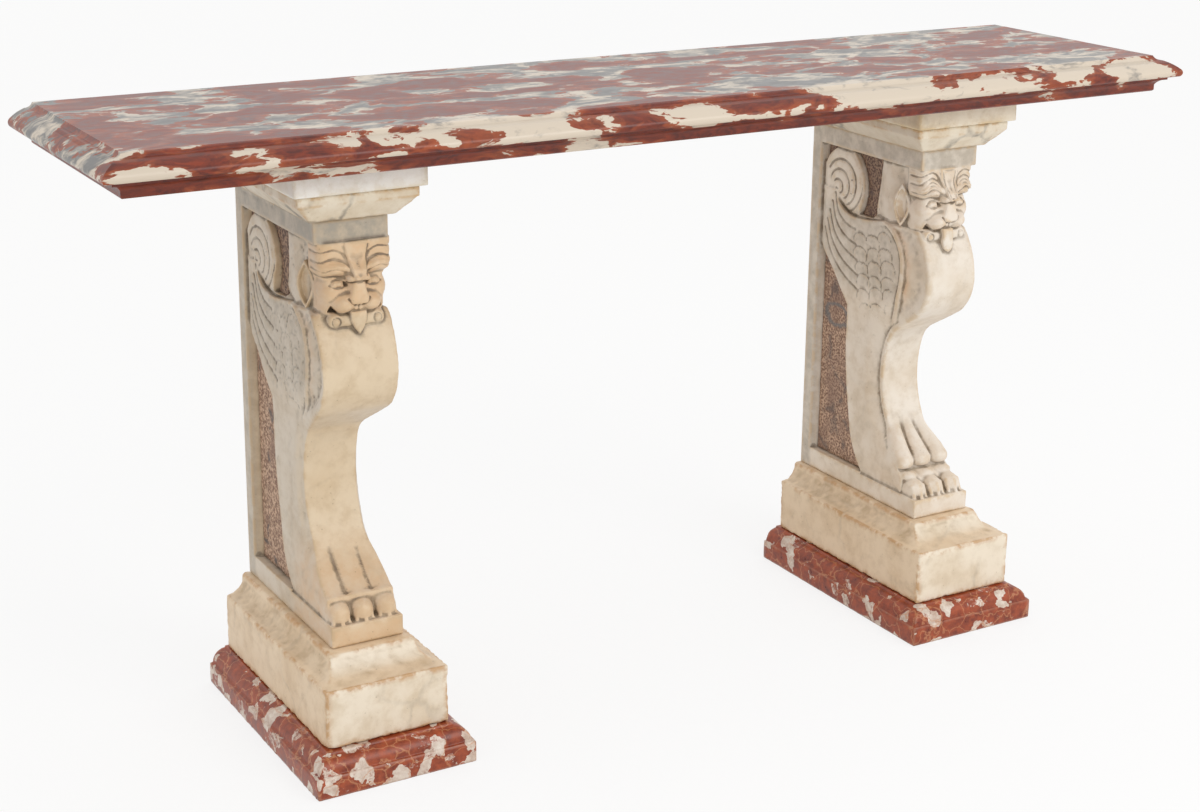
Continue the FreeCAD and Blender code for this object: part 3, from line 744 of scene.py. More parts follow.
# Strokes of the chisel on the face: line, depth, further depth where it is crisp, and width.
STROKES = {
    "upper_lid": (((14, 513), (19, 519.5), (26, 521.5), (32, 519), (37, 513)), 0.6, 0.8, 1.3),
    "lower_lid": (((14, 513), (20, 509), (29, 508.5), (37, 513)), 0.6, 0.8, 1.3),
    "eye_corner": (((15.5, 514), (16, 514.5), (16.5, 515)), 0, 4.0, 2.0),
    "nostril": (((5, 487), (8, 487), (12, 489.5), (15, 495)), 1.9, 0, 1.6),
    "lip_parting": (((0, 487), (0, 482), (0, 476)), 1.6, 0, 1.3),
    "nose_root": (((0, 519), (7, 519), (13, 517)), 1.8, 0, 1.5),
    "cheek_fold": (((14, 504), (20, 502), (29, 500), (37, 491)), 0.6, 0, 2.2),
    "iris": (circle_part((25, 515), 4, 0, 2, 14), 0.9, 0, 1.1),
    "pupil": (((24.5, 515), (25, 515), (25.5, 515)), 0, 1.6, 1.4),
    "jaw_curl": (circle_part((30, 463.5), 6, -0.2, 1.7, 12), 1.8, 0, 1.5),
}


def face_relief(axes, crisp):
    """Lines on the mask, over its front view: locks, forehead plate, eyes, nostrils, lips and cheeks."""
    plane = np.meshgrid(np.abs(axes[0]), axes[2], indexing="ij")
    plate = outside(plane, FOREHEAD)
    border = np.exp(-((plate + FOREHEAD_BORDER_INSET) / FOREHEAD_BORDER_WIDTH) ** 2)
    relief = FOREHEAD_RISE * ease(plate, *FOREHEAD_RUN) - FOREHEAD_BORDER * ease(crisp, 0.6, 1) * border
    mane = ease(plane[1], *MANE_FOOT_RUN) * ease(plate, *FOREHEAD_MANE_RUN)
    above = None
    for lock in LOCKS:
        run, level = np.array(lock[::-1]).T
        plain = np.interp(LOCK_SPOTS, run[[0, -1]], level[[0, -1]])
        line = plain + crisp * (np.interp(LOCK_SPOTS, run, level) - plain)
        strands = [(line, LOCK_DEPTH + LOCK_CRISP_DEPTH * crisp, LOCK_WIDTH)]
        if above is not None:
            strands += [(above + part * (line - above), STRAND_DEPTH * crisp, STRAND_WIDTH)
                        for part in STRAND_PARTS]
        for strand, deep, wide in strands:
            points = np.stack([LOCK_SPOTS, strand], 1)[LOCK_SPOTS >= run[0]]
            relief = relief - mane * deep * groove(plane, points, wide)
        above = line
    for line, deep, crisp_deep, wide in STROKES.values():
        relief = relief - (deep + crisp_deep * crisp) * groove(plane, line, wide)
    return relief[:, None, :]


# Egg shapes of the mask, in the order of work: middle, half sizes, and the width of the seam to the rest.
# The sockets are cut away, and the other shapes are added.
SKULL = ((0, 240, 508), (46, 50, 46))
MANE_AT = (0, 264, 552)
MANE_DEPTH = 22
MANE_HEIGHT = 30
MANE_ROUND = 14
MANE_SEAM = 8
FACE_FORMS = {
    "brow": ((24, 276, 537), (26, 20, 11), 6),
    "cheek": ((31, 264, 503), (18, 24, 21), 9),
    "jowl": ((30, 260, 480), (17, 23, 17), 7),
    "eye_socket": ((24, 303, 514.5), (17, 19, 10), 2),
    "inner_socket": ((14, 297, 514), (5, 9, 6), 3),
    "eyeball": ((25, 279, 514.5), (11.5, 8.5, 6), 1),
}
MUZZLE_FORMS = {
    "frown": ((9, 292, 523), (9, 10, 5.5), 3),
    "whisker_pad": ((20, 284, 487), (14, 16, 11.5), 8),
}
# The nose widens from its bridge to its tip. Lip, mouth and jaw are bars, as two ends and a radius.
NOSE_BRIDGE = 8
NOSE_SPREAD = 6
NOSE_SPREAD_RUN = (518, 490)
NOSE_FRONT = 297
NOSE_TIP = 2
NOSE_TIP_RUN = (528, 494)
NOSE_EDGE = 5
NOSE_END_EDGE = 4
NOSE_SEAM = 10
NOSE_BED = 270
NOSE_FOOT = 486.5
NOSE_ROOT = 530
LIP = ((0, 287, 482), (19, 282, 482), 6.5)
LIP_SEAM = 4
MOUTH = ((0, 298, 475.5), (24, 289, 475), 1.5)
MOUTH_EDGE = 1.5
MOUTH_CORNER = ((25, 474), (36, 486), (39, 476))
MOUTH_CORNER_BED = 258
MOUTH_CORNER_EDGE = 2
JAW = ((0, 284, 464.5), (22, 279, 463.5), 10)
JAW_SEAM = 1.5
JAW_CURL = ((30, 277, 463.5), (12, 13, 12))
JAW_CURL_SEAM = 2
# The lines on the face begin where the head stands free of the neck, and above the chin. The tongues are
# outlines of one half, as (distance from the middle, height).
FACE_RUN = (244, 262)
CHIN_RUN = (454, 462)
POINTED_TONGUE = ((11.5, 477), (11.5, 465), (6.5, 454), (0, 446))
ROUND_TONGUE = ((10, 477), (9, 468), (10.5, 456), (8, 444), (0, 440))
ROUND_TONGUE_LEAN = 4
TONGUE_FRONT = 296
TONGUE_BED = 276
TONGUE_ROOT = 470
TONGUE_TILT = 0.06
TONGUE_ARCH = 0.1
TONGUE_EDGE = 3
TONGUE_SEAM = 1.2


def model(head, pair, forms):
    """Works egg shapes into the head one by one."""
    for name, (middle, size, seam) in forms.items():
        egg = ball(pair, middle, size)
        head = soft_max(head, -egg, seam) if name.endswith("socket") else soft_min(head, egg, seam)
    return head


def lion_mask(place, axes, lion):
    """The lion's face under the block: skull, mane, brows, cheeks, nose, muzzle, jaw and tongue."""
    x, d, h = place
    pair = (np.abs(x), d, h)
    head = ball(place, *SKULL)
    mane = cushion(place, MANE_AT, (lion["mane"], MANE_DEPTH, MANE_HEIGHT), MANE_ROUND)
    head = soft_min(head, mane, MANE_SEAM)
    head = model(head, pair, FACE_FORMS)
    bridge = NOSE_BRIDGE + NOSE_SPREAD * ease(h, *NOSE_SPREAD_RUN)
    nose = soft_max(pair[0] - bridge, d - NOSE_FRONT - NOSE_TIP * ease(h, *NOSE_TIP_RUN), NOSE_EDGE)
    ends = np.maximum(NOSE_FOOT - h, h - NOSE_ROOT)
    nose = soft_max(np.maximum(nose, NOSE_BED - d), ends, NOSE_END_EDGE)
    head = model(soft_min(head, nose, NOSE_SEAM), pair, MUZZLE_FORMS)
    head = soft_min(head, limb(pair, *LIP, LIP[-1]), LIP_SEAM)
    corner = outside(np.meshgrid(np.abs(axes[0]), axes[2], indexing="ij"), MOUTH_CORNER)
    head = soft_max(head, -np.maximum(corner[:, None, :], MOUTH_CORNER_BED - d), MOUTH_CORNER_EDGE)
    head = soft_max(head, -limb(pair, *MOUTH, MOUTH[-1]), MOUTH_EDGE)
    jaw = soft_min(limb(pair, *JAW, JAW[-1]), ball(pair, *JAW_CURL), JAW_CURL_SEAM)
    head = soft_min(head, jaw, JAW_SEAM)
    head = head - face_relief(axes, lion["crisp"]) * ease(d, *FACE_RUN) * ease(h, *CHIN_RUN)
    edge, lean = (POINTED_TONGUE, 0) if lion["pointed"] else (flow(ROUND_TONGUE), ROUND_TONGUE_LEAN)
    ring = [tuple(point) for point in edge] + [(-a, b) for a, b in edge[::-1]]
    tongue = outside(np.meshgrid(axes[0] + lean, axes[2], indexing="ij"), ring)[:, None, :]
    slope = TONGUE_FRONT + lean + TONGUE_TILT * (TONGUE_ROOT - h) - TONGUE_ARCH * np.abs(x + lean)
    tongue = soft_max(tongue, np.maximum(d - slope, TONGUE_BED - d), TONGUE_EDGE)
    return soft_min(head, tongue, TONGUE_SEAM)


# An ear is a leaf that is turned outward, with half its width and half its height, and a hollow in a rim.
EAR_AT = (51, 238, 508)
EAR_TURN = math.radians(32)
EAR_HALF = (15, 34)
EAR_POINT = 1.7
EAR_THICK = 5
EAR_RIM = 4.5
EAR_HOLLOW = 3
EAR_EDGE = 3
EAR_RIM_EDGE = 2


def lion_ear(place):
    """A pointed ear that stands out on each side of the mask like a leaf, hollow in front."""
    out, ahead, up = [p - a for p, a in zip((np.abs(place[0]), place[1], place[2]), EAR_AT)]
    wide = np.abs(out * math.sin(EAR_TURN) - ahead * math.cos(EAR_TURN))
    thick = out * math.cos(EAR_TURN) + ahead * math.sin(EAR_TURN)
    leaf = wide - EAR_HALF[0] * (1 - np.abs(up / EAR_HALF[1]) ** EAR_POINT)
    ear = soft_max(leaf, np.abs(thick) - EAR_THICK, EAR_EDGE)
    return soft_max(ear, -np.maximum(leaf + EAR_RIM, -EAR_HOLLOW - thick), EAR_RIM_EDGE)


# Three toes, each with three claws, of which the outer two stand back along a curve. The crisp paw has a
# pad, knuckles and tendons that gather upwards, the rubbed one has broad toes below a thin ridge.
TOES = (-35, 0, 35)
TOE_PITCH = 38
CLAWS = (-10.5, 0, 10.5)
CLAW_ROOT = (299, 47)
CLAW_ROOT_CURVE = 0.05
CLAW_TIP = (306, 32)
CLAW_TIP_CURVE = 0.04
CLAW_TIP_SPREAD = 1.05
CLAW_TIP_ROUND = 3
CLAW_ROUND = 2
CLAW_SEAM = 1.2
RIDGE_HALF = 46
RIDGE_AT = (285.5, 61)
RIDGE_ROUND = 2.8
PAW_HALF = 50.5
PAW_EDGE = 4
TOE_SEAM = 3
PAD = ((0, 262, 46), (50, 22, 18))
BROAD_TOE = ((282, 39), (19, 26, 21))
ROUND_TOE = ((285, 37), (18, 20, 20))
KNUCKLE = ((268, 58), (14, 14, 8))
KNUCKLE_SEAM = 4
UPPER_KNUCKLE = ((254, 78), (17.5, 17, 14))
UPPER_KNUCKLE_SEAM = 6
TENDON_TOP = (200, 134)
TENDON_FOOT = (243, 86)
TENDON_ROUNDS = (9, 17)
TENDON_GATHER = (0.6, 0.96)
TENDON_SEAM = 2


def lion_paw(place, lion):
    """Three toes with claws over the foot block, with knuckles on the beaded leg, else below a ridge."""
    paw = limb(place, (-RIDGE_HALF, *RIDGE_AT), (RIDGE_HALF, *RIDGE_AT), RIDGE_ROUND, RIDGE_ROUND)
    if lion["beaded"]:
        paw = ball(place, *PAD)
    for middle in TOES:
        toe = ball(place, (middle, *BROAD_TOE[0]), BROAD_TOE[1])
        if lion["beaded"]:
            toe = ball(place, (middle, *ROUND_TOE[0]), ROUND_TOE[1])
            toe = soft_min(toe, ball(place, (middle, *KNUCKLE[0]), KNUCKLE[1]), KNUCKLE_SEAM)
            upper, lower = [middle * share for share in TENDON_GATHER]
            tendon = limb(place, (upper, *TENDON_TOP), (lower, *TENDON_FOOT), *TENDON_ROUNDS)
            knuckle = ball(place, (middle, *UPPER_KNUCKLE[0]), UPPER_KNUCKLE[1])
            tendon = soft_min(tendon, knuckle, UPPER_KNUCKLE_SEAM)
            toe = soft_min(toe, tendon, TENDON_SEAM)
        for claw in CLAWS:
            root = (middle + claw, CLAW_ROOT[0] - CLAW_ROOT_CURVE * claw * claw, CLAW_ROOT[1])
            tip = (middle + CLAW_TIP_SPREAD * claw, CLAW_TIP[0] - CLAW_TIP_CURVE * claw * claw, CLAW_TIP[1])
            nail = limb(place, root, tip, CLAW_ROUND * (1 + lion["crisp"]), CLAW_TIP_ROUND)
            toe = soft_min(toe, nail, CLAW_SEAM)
        paw = soft_min(paw, toe, TOE_SEAM)
    return soft_max(paw, np.abs(place[0]) - PAW_HALF, PAW_EDGE)


# How grey the wing and the pilaster are, and where the stains come and go along the depth and the height.
GREY_WING = 0.42
GREY_POST = 0.6
WING_STAIN_RUNS = ((0, 12), (320, 360), (480, 462))
FACE_STAIN_RUN = (462, 474)
FOOT_STAIN_RUNS = ((150, 215), (150, 70))
BAND_AHEAD = 12
BAND_WIDTH = 7
BAND_RUNS = ((320, 370), (470, 455))


def patina(piece, side, lion):
    """Marks where the marble turned grey, on rail, wing and pilaster, or tan, on mask, foot and bead."""
    low, high = node_box("support_" + side)
    spots = np.empty(3 * len(piece.data.vertices))
    piece.data.vertices.foreach_get("co", spots)
    y, z = spots.reshape(-1, 3).T[1:] / MM
    d, h = high[1] - y, z - low[2]
    front = bead_depth(h)
    rail_foot = high[2] - low[2] - TOP_RAIL
    rail = ease(h, rail_foot - 1, rail_foot + 1)
    wing = ease(front - d, *WING_STAIN_RUNS[0])
    wing = wing * ease(h, *WING_STAIN_RUNS[1]) * ease(h, *WING_STAIN_RUNS[2])
    post = ease(d, PILASTER + PILASTER_SPLAY, PILASTER + PILASTER_SPLAY / 2)
    grey = np.maximum(rail * lion["grey"], np.maximum(GREY_WING * wing, GREY_POST * post))
    face = ease(d, *FACE_RUN) * ease(h, *FACE_STAIN_RUN) * (1 - rail)
    foot = ease(d, *FOOT_STAIN_RUNS[0]) * ease(h, *FOOT_STAIN_RUNS[1])
    band = np.exp(-((d - front - BAND_AHEAD) / BAND_WIDTH) ** 2)
    band = band * ease(h, *BAND_RUNS[0]) * ease(h, *BAND_RUNS[1])
    tan = np.maximum(lion["tan_face"] * face, np.maximum(lion["tan_foot"] * foot, lion["tan_band"] * band))
    mark(piece.data, "grey", grey.astype(np.float32))
    mark(piece.data, "tan", tan.astype(np.float32))
    return piece


def part_of_grid(lines, span, shift=(0, 0, 0)):
    """Part of the grid by depth and height: its cells, its own lines, and those lines set in space."""
    inside = [(line > low) & (line < high) for line, (low, high) in zip(lines[1:], span)]
    cells = np.ix_(np.full(len(lines[0]), True), *inside)
    own = [lines[0], lines[1][inside[0]], lines[2][inside[1]]]
    own = [line - move for line, move in zip(own, shift)]
    return cells, own, [own[0][:, None, None], own[1][:, None], own[2]]


# The parts of the grid that hold the mask and the paw, as depths and heights, and their seams to the rest.
MASK_SPAN = ((200, 320), (430, 590))
MASK_SEAM = 2
MASK_LAP = 1
EAR_SEAM = 2
PAW_SPAN = ((190, 320), (10, 160))
PAW_SEAM = 4
# The shank of the rubbed lion has shallow waves above its toes, with a seam between each two.
SHANK_WAVE = 1.7
SHANK_WAVE_RUNS = ((190, 205), (128, 92), (56, 64))
SHANK_SEAM = 1.5
SHANK_SEAM_WIDTH = 3.2
# The arrises of the carving, which are rounder along the chest.
CARVED_ARRIS = 2.5
CHEST_RUNS = ((120, 200), (300, 345), (560, 470))
# Wear of the carved faces: ripples on the sides, as size and share, which fade below the waist, and dents.
CARVED_RIPPLES = ((9, 1.0), (4, 0.7))
WAIST_RUN = (300, 345)
BELOW_WAIST = 0.35
CARVED_DENT = 12
CARVED_DENT_DEPTH = 0.6
CARVED_DENT_FROM = 0.2


def carve(side, lion):
    """The whole support, as a stone cut from a grid."""
    low, high = node_box("support_" + side)
    lines = grid_lines(low, high, CARVE_STEP)
    x, d, h = lines[0] - (low[0] + high[0]) / 2, high[1] - lines[1], lines[2] - low[2]
    tall = float(high[2] - low[2])
    rail = tall - TOP_RAIL
    plane = np.meshgrid(d, h, indexing="ij")
    across = np.abs(x)[:, None, None]
    skin = -outside(plane, leg_outline(tall, lion))
    half = side_relief(plane, skin, lion)
    rough = lion["wear"] * (BELOW_WAIST + (1 - BELOW_WAIST) * ease(plane[1], *WAIST_RUN))
    ripples = sum(share * lumps([d, h], size, lion["seed"] + number)
                  for number, (size, share) in enumerate(CARVED_RIPPLES))
    half = half + rough * ripples
    half = half - PILASTER_PROUD * ease(plane[0], PILASTER + PILASTER_SPLAY, PILASTER)
    chest = ease(plane[0], *CHEST_RUNS[0]) * ease(plane[1], *CHEST_RUNS[1]) * ease(plane[1], *CHEST_RUNS[2])
    round_over = (CARVED_ARRIS + (lion["arris"] - CARVED_ARRIS) * chest).astype(np.float32)
    body = soft_max(across - half, -skin, round_over)
    if not lion["beaded"]:
        toes = ease(d, *SHANK_WAVE_RUNS[0])[:, None]
        toes = toes * ease(h, *SHANK_WAVE_RUNS[1]) * ease(h, *SHANK_WAVE_RUNS[2])
        body = body - SHANK_WAVE * np.cos(across * 2 * math.pi / TOE_PITCH) * toes
        body = body + SHANK_SEAM * np.exp(-((across - TOE_PITCH / 2) / SHANK_SEAM_WIDTH) ** 2) * toes
    shelf = flow(SHELF)
    drop = SHELF_DROP * np.exp(-near(plane, shelf, SHELF_REACH) / SHELF_FADE)
    drop = drop * ease(plane[0], *SHELF_BACK_RUN) * ease(plane[0], *SHELF_FRONT_RUN)
    over = outside(plane, list(shelf) + [(SHELF[-1][0], SHELF_OVER), (SHELF[0][0], SHELF_OVER)])
    body = soft_max(body, np.minimum(-over, across - half + drop), EDGE_ROUND)
    for line in sunk_fields(rail).values():
        body = soft_max(body, -np.maximum(outside(plane, line), FIELD_HALF - across), EDGE_ROUND)
    splay = SUPPORT_HALF - 2 * np.maximum(d - PILASTER, 0)[:, None]
    body = np.minimum(body, np.maximum(across - splay, d[:, None] - PILASTER - PILASTER_SPLAY))
    top = [(0, rail), (BLOCK_DEPTH, rail), (BLOCK_DEPTH, tall), (0, tall)]
    foot = [(0, 0), (FOOT_DEPTH, 0), (FOOT_DEPTH, FOOT_HEIGHT), (BOTTOM_RAIL_DEPTH, FOOT_HEIGHT),
            (BOTTOM_RAIL_DEPTH, BOTTOM_RAIL), (0, BOTTOM_RAIL)]
    for line in (top, foot):
        body = np.minimum(body, soft_max(across - SUPPORT_HALF, outside(plane, line), EDGE_ROUND))
    cells, own, place = part_of_grid([x, d, h], MASK_SPAN, lion["mask_shift"])
    mask = soft_min(lion_mask(place, own, lion), lion_ear(place), EAR_SEAM)
    mask = np.maximum(mask, place[2] + lion["mask_shift"][2] - rail - MASK_LAP)
    body[cells] = soft_min(body[cells], mask, MASK_SEAM)
    cells, _, place = part_of_grid([x, d, h], PAW_SPAN)
    body[cells] = soft_min(body[cells], lion_paw(place, lion), PAW_SEAM)
    dents = np.maximum(lumps(lines, CARVED_DENT, lion["seed"] + 2) - CARVED_DENT_FROM, 0)
    body += lion["wear"] * CARVED_DENT_DEPTH * dents
    limits = np.maximum(across - WIDEST_HALF, d[:, None] - FOOT_DEPTH)
    limits = np.maximum(limits, np.maximum(-d[:, None], np.maximum(-h, h - tall)))
    return cut_stone("carved_support_" + side, np.maximum(body, limits), lines, CARVE_THINNING)


# White marble, carved and rubbed: pale high places, brown grime and painted shade in the hollows,
# greyer sides that are partly painted shade, and a silky sheen. The left one is warmer and darker.
carved_marble = {
    "left": old_marble("white_marble_carved_left", "#dfcbad", "#d6c9b7", "#ceb38e", "#695a48",
                       0.08, 0.36),
    "right": old_marble("white_marble_carved_right", "#ece2d4", "#ecdfcd", "#d9be98", "#75624a",
                        0.08, 0.34),
}
for side, lion in LIONS.items():
    seat(patina(carve(side, lion), side, lion), carved_marble[side], "white_marble", "support_" + side)

# Brown stone inlays
# Thin pieces of a granular brown stone, sawn to the fields of the carving and bedded there in mortar. Those
# by the scroll are darker, and the tall right ones show a grey ring where a nodule was sawn through.
INLAY_HALF = 41.5
INLAY_BED = 0.4
INLAY_SINK = 0.6
INLAY_ROUGH = 0.5
INLAY_LUMP = 5
INLAY_BACK_GAP = 0.1
INLAY_SEED = 60
INLAY_THINNING = 0.1
# The stone's pattern: clouds, the net of veins and how it bends, and grains of 1 to 2 mm, which are drawn
# about twice as coarse so that they show.
BROWN_CLOUD = 40
BROWN_VEIN_CELL = 80
BROWN_VEIN_BEND = 30
BROWN_GRAIN = 3.8
# The nodule's ring: its radius, the width of its rim, how the depth is squashed, and its place.
NODULE_ROUND = 15
NODULE_RIM = 6
NODULE_SQUASH = (0.0, 0.5, 1.0)
NODULE_AT = (55, 293)


def brown_stone(name, dark, light, vein_share, nodule=None):
    """Sawn granular brown stone: pinkish grains in darker brown, dark grey veins and a dull, rough skin."""
    material, tree, shader, place = start_material(name)
    grain = add(tree, "TexNoise", {"Vector": place, "Scale": 1 / (BROWN_GRAIN * MM), "Detail": 3.0,
                                   "Roughness": 0.6})
    bright = add(tree, "MapRange", {0: grain, 1: 0.42, 2: 0.6})
    body = add(tree, "Mix", {0: bright, 6: linear(dark), 7: linear(light)}, 2, **RGBA)
    cloud = add(tree, "TexNoise", {"Vector": place, "Scale": 1 / (BROWN_CLOUD * MM), "Detail": 5.0,
                                   "Distortion": 0.6})
    dull = add(tree, "MapRange", {0: cloud, 1: 0.45, 2: 0.7, 3: 0.0, 4: 0.6}, **SMOOTH)
    body = add(tree, "Mix", {0: dull, 6: body, 7: linear("#86695a")}, 2, **RGBA)
    warp = add(tree, "TexNoise", {"Vector": place, "Scale": 1 / (BROWN_VEIN_BEND * MM), "Detail": 4.0},
               "Color")
    moved = add(tree, "VectorMath", {0: warp, 1: [BROWN_VEIN_BEND * MM] * 3, 2: place},
                operation="MULTIPLY_ADD")
    crack = add(tree, "TexVoronoi", {"Vector": moved, "Scale": 1 / (BROWN_VEIN_CELL * MM)},
                feature="DISTANCE_TO_EDGE")
    vein = add(tree, "MapRange", {0: crack, 1: 0.01, 2: 0.07, 3: vein_share, 4: 0.0}, **SMOOTH)
    kept = add(tree, "MapRange", {0: cloud, 1: 0.48, 2: 0.58})
    vein = add(tree, "Math", {0: vein, 1: kept}, operation="MULTIPLY")
    body = add(tree, "Mix", {0: vein, 6: body, 7: linear("#4d4a4b")}, 2, **RGBA)
    if nodule:
        away = add(tree, "VectorMath", {0: moved, 1: nodule}, operation="SUBTRACT")
        flat = add(tree, "VectorMath", {0: away, 1: NODULE_SQUASH}, operation="MULTIPLY")
        gap = add(tree, "VectorMath", {0: flat}, "Value", operation="LENGTH")
        gap = add(tree, "Math", {0: gap, 1: NODULE_ROUND * MM}, operation="SUBTRACT")
        gap = add(tree, "Math", {0: gap}, operation="ABSOLUTE")
        rim = add(tree, "MapRange", {0: gap, 1: 0.0, 2: NODULE_RIM * MM, 3: 0.8, 4: 0.0}, **SMOOTH)
        body = add(tree, "Mix", {0: rim, 6: body, 7: linear("#6f7070")}, 2, **RGBA)
    relief = add(tree, "Bump", {"Height": grain, "Strength": 0.7, "Distance": 1.5 * MM})
    fill(tree, shader, {"Base Color": body, "Roughness": 0.6, "Normal": relief, "IOR": STONE_IOR})
    return material


right_low, right_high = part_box("support_right")
nodule_place = (0.0, right_high[1] - NODULE_AT[0] * MM, right_low[2] + NODULE_AT[1] * MM)
field_stone = {
    "left": brown_stone("granular_brown_stone_sawn", "#7e5d49", "#cfae93", 0.85),
    "right": brown_stone("granular_brown_stone_with_ring", "#7e5d49", "#cfae93", 0.5, nodule_place),
}
upper_stone = brown_stone("purple_brown_stone_sawn", "#543c31", "#a88a72", 0.4)
for side, outward in (("left", -1), ("right", 1)):
    low, high = node_box("support_" + side)
    middle, rail = (low[0] + high[0]) / 2, float(high[2] - low[2]) - TOP_RAIL
    for face, hand in (("outer", outward), ("inner", -outward)):
        for number, (name, line) in enumerate(sunk_fields(rail).items()):
            node = "inlay_%s_%s_%s" % (name, side, face)
            lines = grid_lines(*node_box(node), CARVE_STEP)
            x, d, h = (lines[0] - middle) * hand, high[1] - lines[1], lines[2] - low[2]
            plane = np.meshgrid(d, h, indexing="ij")
            edge = outside(plane, line) + INLAY_BED
            edge = np.maximum(edge, PILASTER + PILASTER_SPLAY + INLAY_BED - plane[0])
            skin = INLAY_HALF - INLAY_SINK + INLAY_ROUGH * lumps([d, h], INLAY_LUMP, INLAY_SEED + number)
            body = np.maximum(edge, x[:, None, None] - skin)
            body = np.maximum(body, FIELD_HALF + INLAY_BACK_GAP - x[:, None, None])
            stone = field_stone[side] if name == "field" else upper_stone
            seat(cut_stone("set_" + node, body, lines, INLAY_THINNING), stone, "brown_stone", node)

# Veined marble caps
# A short fascia over a splayed underside, worked from one block of cream marble with grey veins and honed.
# Each is pinned on top of its support.
CAP_SPLAYS = (26, 23)
CAP_SPLAY_HEIGHT = 27
CAP_ARRIS = 2
CAP_WEAR = 0.7
CAP_SEEDS = {"left": 73, "right": 83}
# Honed veined marble: cream crossed by dark grey veins, with a soft sheen. Its darker side colour is
# partly painted shade, and its hollows take brown grime and painted shade.
cap_marble = old_marble("veined_cream_marble_honed", "#eadfcb", "#dccfba", "#c8a06a", "#8a7656", 1.0, 0.3)
for side, seed in CAP_SEEDS.items():
    cap_high = node_height("cap_" + side)
    profiles = [[(splay, 0), (0, CAP_SPLAY_HEIGHT), (0, cap_high - CAP_ARRIS), (CAP_ARRIS, cap_high)]
                for splay in CAP_SPLAYS]
    block = moulded_block("cap_block_" + side, "cap_" + side, *profiles, CAP_WEAR, seed)
    seat(block, cap_marble, "veined_marble", "cap_" + side)

# White bearing plates
# Plain sawn plates of newer marble that carry the slab on the caps. They are laid loose and held by the
# slab's weight.
PLATE_WEAR = 0.3
PLATE_SEEDS = {"left": 93, "right": 103}
# Sawn marble: clean and nearly white on the left, creamier on the right, and duller than the honed stones.
# Their darker side colours are partly painted shade, and their hollows take brown grime and painted shade.
plate_marble = {
    "left": old_marble("white_marble_sawn", "#f6f2ea", "#ece7dd", "#e4d8c0", "#b8ab95", 0.12, 0.4),
    "right": old_marble("cream_white_marble_sawn", "#f0e4ce", "#e6d8be", "#d8bd8e", "#b09a76", 0.12, 0.4),
}
for side, seed in PLATE_SEEDS.items():
    profile = [(0, 0), (0, node_height("bearing_plate_" + side))]
    plate = moulded_block("sawn_plate_" + side, "bearing_plate_" + side, profile, profile, PLATE_WEAR, seed)
    seat(plate, plate_marble[side], "new_white_marble", "bearing_plate_" + side)

# Red marble slab
# One thick polished slab of red marble with cream and grey clouds, moulded on its front and ends with a
# bold nose between two hollows, flat at the back. It lies on the plates by its own weight.
SLAB_FASCIA_INSET = 30
SLAB_FASCIA_TOP = 10
SLAB_ARRIS = 2
SLAB_HOLLOW = 16
SLAB_FILLET_INSET = 16
SLAB_FILLET = (19, 24)
SLAB_NOSE_INSET = 3
SLAB_NOSE = (25, 37)
SLAB_NOSE_ROUND = 7.5
SLAB_NOSE_BACK = (23, 49)
SLAB_NOSE_BACK_ROUND = 60
SLAB_TOP_INSET = 34
SLAB_TOP_HOLLOW = 11
SLAB_SHARP = math.radians(35)
# The slab's pattern: clouds, wisps of grey, fine shading, and over what length and how far the clouds bend.
# All are drawn out along the slab and turned a little.
SLAB_CLOUD = 85
SLAB_WISP = 30
SLAB_SHADE = 14
SLAB_BEND = 80
SLAB_BEND_REACH = 110
SLAB_DRAW = (0.62, 1.2, 1.7)
SLAB_TURN = 0.14
# The slab is redder below these heights and creamier beyond these distances from its middle, at the lip.
# Away from the lip its pale clouds turn greyer: painted reflection on the polished top.
RED_BED = (16, 30)
CREAM_LIP = (140, 190)


